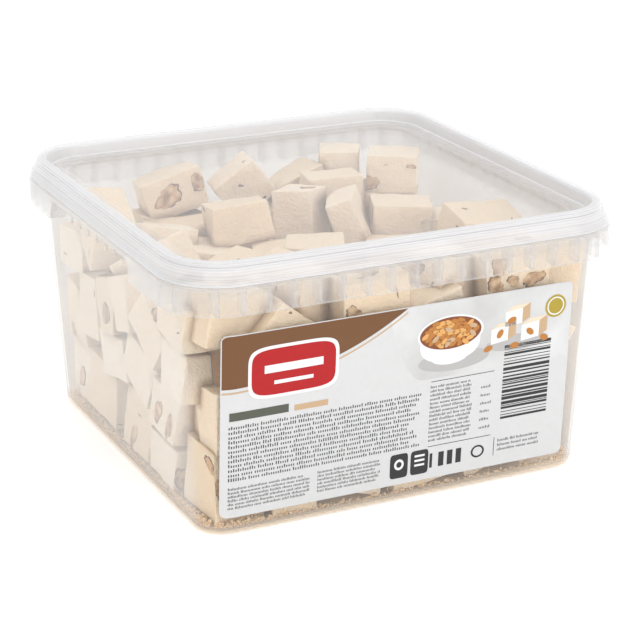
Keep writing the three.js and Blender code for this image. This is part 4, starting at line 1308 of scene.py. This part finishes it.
# Inks by name, apart from those that are properties.
INKS = {
    "white": (0.70, 0.70, 0.70), "shade": (0.40, 0.39, 0.38), "caramel": (0.42, 0.17, 0.04),
    "honey": (0.62, 0.33, 0.11), "cream": (0.68, 0.58, 0.44), "tan": (0.48, 0.33, 0.20),
    "nut": (0.20, 0.065, 0.025), "gold": (0.36, 0.27, 0.035), "olive": (0.085, 0.09, 0.07),
}
# Places on the label in millimetres, from its left and its lower edge.
BADGE = (29, 57.5)
BOWL = (95, 60)
ROUND_BADGE = (141.5, 65)
CUBES = [(113, 53, 7.6, 6.2), (126.5, 52.5, 8, 6.6), (119, 59.4, 7.6, 6.2)]
LOOSE_NUTS = [(112, 51.5, 20), (137, 52.5, -25), (123.8, 51.2, 5), (117, 57, 60), (122, 62, 20),
              (130.5, 56, -40)]
FIGURE_WIDTHS = (1.2, 2.4, 2.4, 2.4)
FIGURES_LEFT, FIGURES_LOW, FIGURE_PITCH, FIGURE_TALL = 88.5, 4.6, 3.9, 6.2
STRIPES_LEFT, STRIPES_WIDE, STRIPES_LOW, STRIPES_HIGH = 119.5, 21, 20.0, 51.5
STRIPE = 0.33
# Blocks of small print: left, right, low, high, line pitch, height of a stroke and its weight.
SMALL_PRINT = [
    (3, 84, 15.0, 38.0, 1.95, 1.35, 0.32), (3, 37, 2.6, 12.6, 1.6, 1.1, 0.24),
    (40, 68, 2.8, 12.8, 1.6, 1.1, 0.24), (87.5, 106, 16, 40, 1.75, 1.15, 0.22),
] + [(110, 114.5, level, level + 1.1, 3, 1.1, 0.3) for level in np.arange(17.5, 38, 3.5)] + [
    (119, 138, 5.5, 11.5, 2.0, 1.2, 0.22),
]


def print_grounds(inks):
    """The brown field along the upper edge, which rises to the right by a power of the place, a line under
    it, and a grey ground for the picture, whose lower edge falls by a square."""
    top = LABEL_HIGH - 0.35
    s = np.linspace(0.35, 76, 110)
    high = top - corner_cut(s)
    curve = 53 + 21 * (s / 76) ** 2.4
    print_field("print_brown_field", s, np.minimum(curve, high), high, 0.04, inks["brown"])
    line = np.minimum(curve - 1.3, high)
    print_field("print_brown_line", s, line - 0.7, line, 0.04, inks["tan"])
    s = np.linspace(68, LABEL_WIDE - 0.4, 90)
    high = top - corner_cut(s)
    low = 43 + 30 * np.clip((84 - s) / 16, 0, 1) ** 2
    print_field("print_picture", s, np.minimum(low, high), high, 0.03, inks["grey"])


def print_badge(inks):
    """The red badge with two bars in it."""
    print_disc("print_badge_edge", BADGE, (18.6, 10.6), 0.08, inks["white"], power=5)
    print_disc("print_badge", BADGE, (17.2, 9.3), 0.12, inks["red"], power=5)
    print_bars("print_badge_bars", [(17, 57.2, 24, 3.2), (21, 52.4, 16, 1.5)], 0.16, inks["white"])


def print_round_badge(inks):
    """The small gold badge with a ring."""
    print_disc("print_round_badge", ROUND_BADGE, (4.7, 4.7), 0.1, inks["gold"])
    print_disc("print_round_ring", ROUND_BADGE, (3.8, 3.8), 0.13, inks["white"], inner=0.86)


def print_marks(ink, white):
    """Thin rules, two dark marks, one with a ring and one with bars, and a ring beside the figures' bars."""
    rules = [(87.5, 41.5, 28, 0.25), (87.5, 13.8, 28, 0.25), (117.2, 4.5, 0.25, 8)]
    print_bars("print_rules", rules, 0.05, ink)
    print_disc("print_mark_one", (75, 8), (3.9, 5.2), 0.06, ink, power=7)
    print_disc("print_mark_two", (84, 8), (3.9, 5.2), 0.06, ink, power=7)
    print_disc("print_mark_dot", (75, 8.6), (2.1, 2.3), 0.1, white, inner=0.55)
    print_bars("print_mark_bars", [(81.8, level, 4.4, 0.9) for level in (6.4, 8.4, 10.4)], 0.1, white)
    print_disc("print_mark_ring", (110, 7.8), (3.0, 2.7), 0.06, ink, inner=0.72)


def stripe_bars(rng):
    """Lying bars of one to four times the least width, with gaps of one to three times, up to the block's
    top."""
    stripes = []
    place = STRIPES_LOW
    while place < STRIPES_HIGH:
        high = STRIPE * rng.choice([1, 2, 3, 4])
        stripes.append((STRIPES_LEFT, place, STRIPES_WIDE, high))
        place += high + STRIPE * rng.choice([1, 1, 2, 3])
    return stripes


class TUB_OT_print(Operator):
    """The label's print: a brown field, two badges, a pale picture of a bowl and cubes, strokes for words,
    stripes."""
    bl_idname = "nougat_tub.print"
    bl_label = "Label print"

    def execute(self, context):
        looks = context.scene.label_looks
        rng = np.random.default_rng(SEED + 2)
        inks = {name: ink_material("print_" + name, tint) for name, tint in INKS.items()}
        inks["brown"] = ink_material("print_brown", looks.brown)
        inks["red"] = ink_material("print_red", looks.red, 0.25)
        inks["ink"] = ink_material("print_ink", looks.ink)
        inks["grey"] = ink_material("print_grey", (0.60, 0.60, 0.60), other=[0.46, 0.455, 0.45], scale=28.0)
        print_grounds(inks)
        print_badge(inks)
        print_bowl(rng, BOWL, inks["white"], inks["nut"], inks["shade"],
                   [inks[name] for name in ("caramel", "honey", "caramel", "tan")])
        print_disc("print_cube_shade", (125, 52.5), (14, 3.4), 0.05, inks["shade"])
        print_cubes(CUBES, inks["cream"], inks["white"], inks["tan"])
        nuts = np.array(LOOSE_NUTS, float)
        print_ovals("print_nuts", nuts[:, :2], (2.0, 1.25), 0.12, inks["caramel"], nuts[:, 2], 32)
        print_round_badge(inks)
        print_bars("print_heading", [(3.2, 40.0, 24, 3.4)], 0.05, inks["olive"], 24)
        print_bars("print_heading_small", [(29.5, 40.0, 14, 2.4)], 0.05, inks["tan"])
        figures = [(FIGURES_LEFT + FIGURE_PITCH * number, FIGURES_LOW, wide, FIGURE_TALL)
                   for number, wide in enumerate(FIGURE_WIDTHS)]
        print_bars("print_figures", figures, 0.05, inks["ink"])
        words = [bar for lines in SMALL_PRINT for bar in tally_rows(rng, *lines)]
        print_bars("print_words", words, 0.05, inks["ink"], 1)
        print_marks(inks["ink"], inks["white"])
        print_bars("print_stripes", stripe_bars(rng), 0.05, inks["ink"])
        return {"FINISHED"}


# The stage. The floor is in millimetres; the camera's distance and aim are in metres.
FLOOR_REACH, FLOOR_DROP = 3000, -0.05
VIEW_AZIMUTH, VIEW_ELEVATION, VIEW_DISTANCE = -25.69, 19.76, 0.8697
AIM_RIGHT, AIM_HEIGHT = 0.0044, 0.04836
LENS, SENSOR = 117.2, 36


def area_light(name, place, target, size, power):
    """A square soft light at a place, turned to its target."""
    data = bpy.data.lights.new(name, "AREA")
    data.shape = "SQUARE"
    data.size = size
    data.energy = power
    lamp = bpy.data.objects.new(name, data)
    lamp.location = place
    lamp.rotation_euler = (Vector(target) - Vector(place)).to_track_quat("-Z", "Y").to_euler()
    bpy.context.scene.collection.objects.link(lamp)


class TUB_OT_stage(Operator):
    """The stage: a pale floor, white surroundings, soft lights and the camera."""
    bl_idname = "nougat_tub.stage"
    bl_label = "Stage"

    def execute(self, context):
        looks = context.scene.stage_looks
        scene = context.scene
        material, _, shader = new_material("floor_look", 0.6)
        shader.inputs["Base Color"].default_value = (0.97, 0.97, 0.97, 1)
        shader.inputs["Emission Color"].default_value = (1, 1, 1, 1)
        shader.inputs["Emission Strength"].default_value = 0.12
        step = np.linspace(-FLOOR_REACH, FLOOR_REACH, 13)
        x, y = np.meshgrid(step, step)
        points = np.stack([x, y, np.full_like(x, FLOOR_DROP)], axis=-1)
        floor = put_mesh("floor", points, grid_faces(13, 13), material)
        world = bpy.data.worlds.new("surroundings")
        world.use_nodes = True
        background = world.node_tree.nodes["Background"]
        background.inputs["Color"].default_value = (1, 1, 1, 1)
        background.inputs["Strength"].default_value = looks.daylight
        scene.world = world
        area_light("soft_top", (-0.35, -0.70, 1.05), (0, 0, 0.05), 0.8, looks.softbox * 1.8)
        area_light("soft_front", (0.35, -1.0, 0.40), (0, 0, 0.05), 0.7, looks.softbox * 1.3)
        area_light("soft_low", (-1.0, -0.42, 0.09), (0, 0, 0.03), 0.5, looks.softbox * 0.4)
        scene.cycles.transparent_max_bounces = CLEAR_LAYERS
        scene.view_settings.view_transform = "Standard"
        azimuth, elevation = math.radians(VIEW_AZIMUTH), math.radians(VIEW_ELEVATION)
        level = math.cos(elevation)
        back = Vector((math.sin(azimuth) * level, -math.cos(azimuth) * level, math.sin(elevation)))
        aim = Vector((math.cos(azimuth), math.sin(azimuth), 0)) * AIM_RIGHT + Vector((0, 0, AIM_HEIGHT))
        data = bpy.data.cameras.new("camera")
        data.lens = LENS
        data.sensor_width = SENSOR
        camera = bpy.data.objects.new("camera", data)
        camera.location = aim + back * VIEW_DISTANCE
        camera.rotation_euler = (-back).to_track_quat("-Z", "Y").to_euler()
        scene.collection.objects.link(camera)
        scene.camera = camera
        return {"FINISHED"}


class TUB_PT_panel(Panel):
    """The panel with every step and every look that can be set."""
    bl_idname = "TUB_PT_panel"
    bl_label = "Nougat tub"
    bl_space_type = "VIEW_3D"
    bl_region_type = "UI"
    bl_category = "Nougat tub"

    def draw(self, context):
        for kind in OPERATORS:
            self.layout.operator(kind.bl_idname)
        for name, kind in GROUPS:
            for key in kind.__annotations__:
                self.layout.prop(getattr(context.scene, name), key)


OPERATORS = (TUB_OT_wall, TUB_OT_lid, TUB_OT_nougat, TUB_OT_almonds, TUB_OT_crumbs, TUB_OT_label,
             TUB_OT_print, TUB_OT_stage)
GROUPS = (("tub_looks", TubLooks), ("nougat_looks", NougatLooks), ("label_looks", LabelLooks),
          ("stage_looks", StageLooks))


def register():
    for name, group in GROUPS:
        bpy.utils.register_class(group)
        setattr(bpy.types.Scene, name, PointerProperty(type=group))
    for kind in OPERATORS + (TUB_PT_panel,):
        bpy.utils.register_class(kind)


def unregister():
    for kind in reversed(OPERATORS + (TUB_PT_panel,)):
        bpy.utils.unregister_class(kind)
    for name, group in reversed(GROUPS):
        delattr(bpy.types.Scene, name)
        bpy.utils.unregister_class(group)


def main():
    register()
    for kind in OPERATORS:
        family, name = kind.bl_idname.split(".")
        getattr(getattr(bpy.ops, family), name)()


if __name__ == "__main__":
    main()
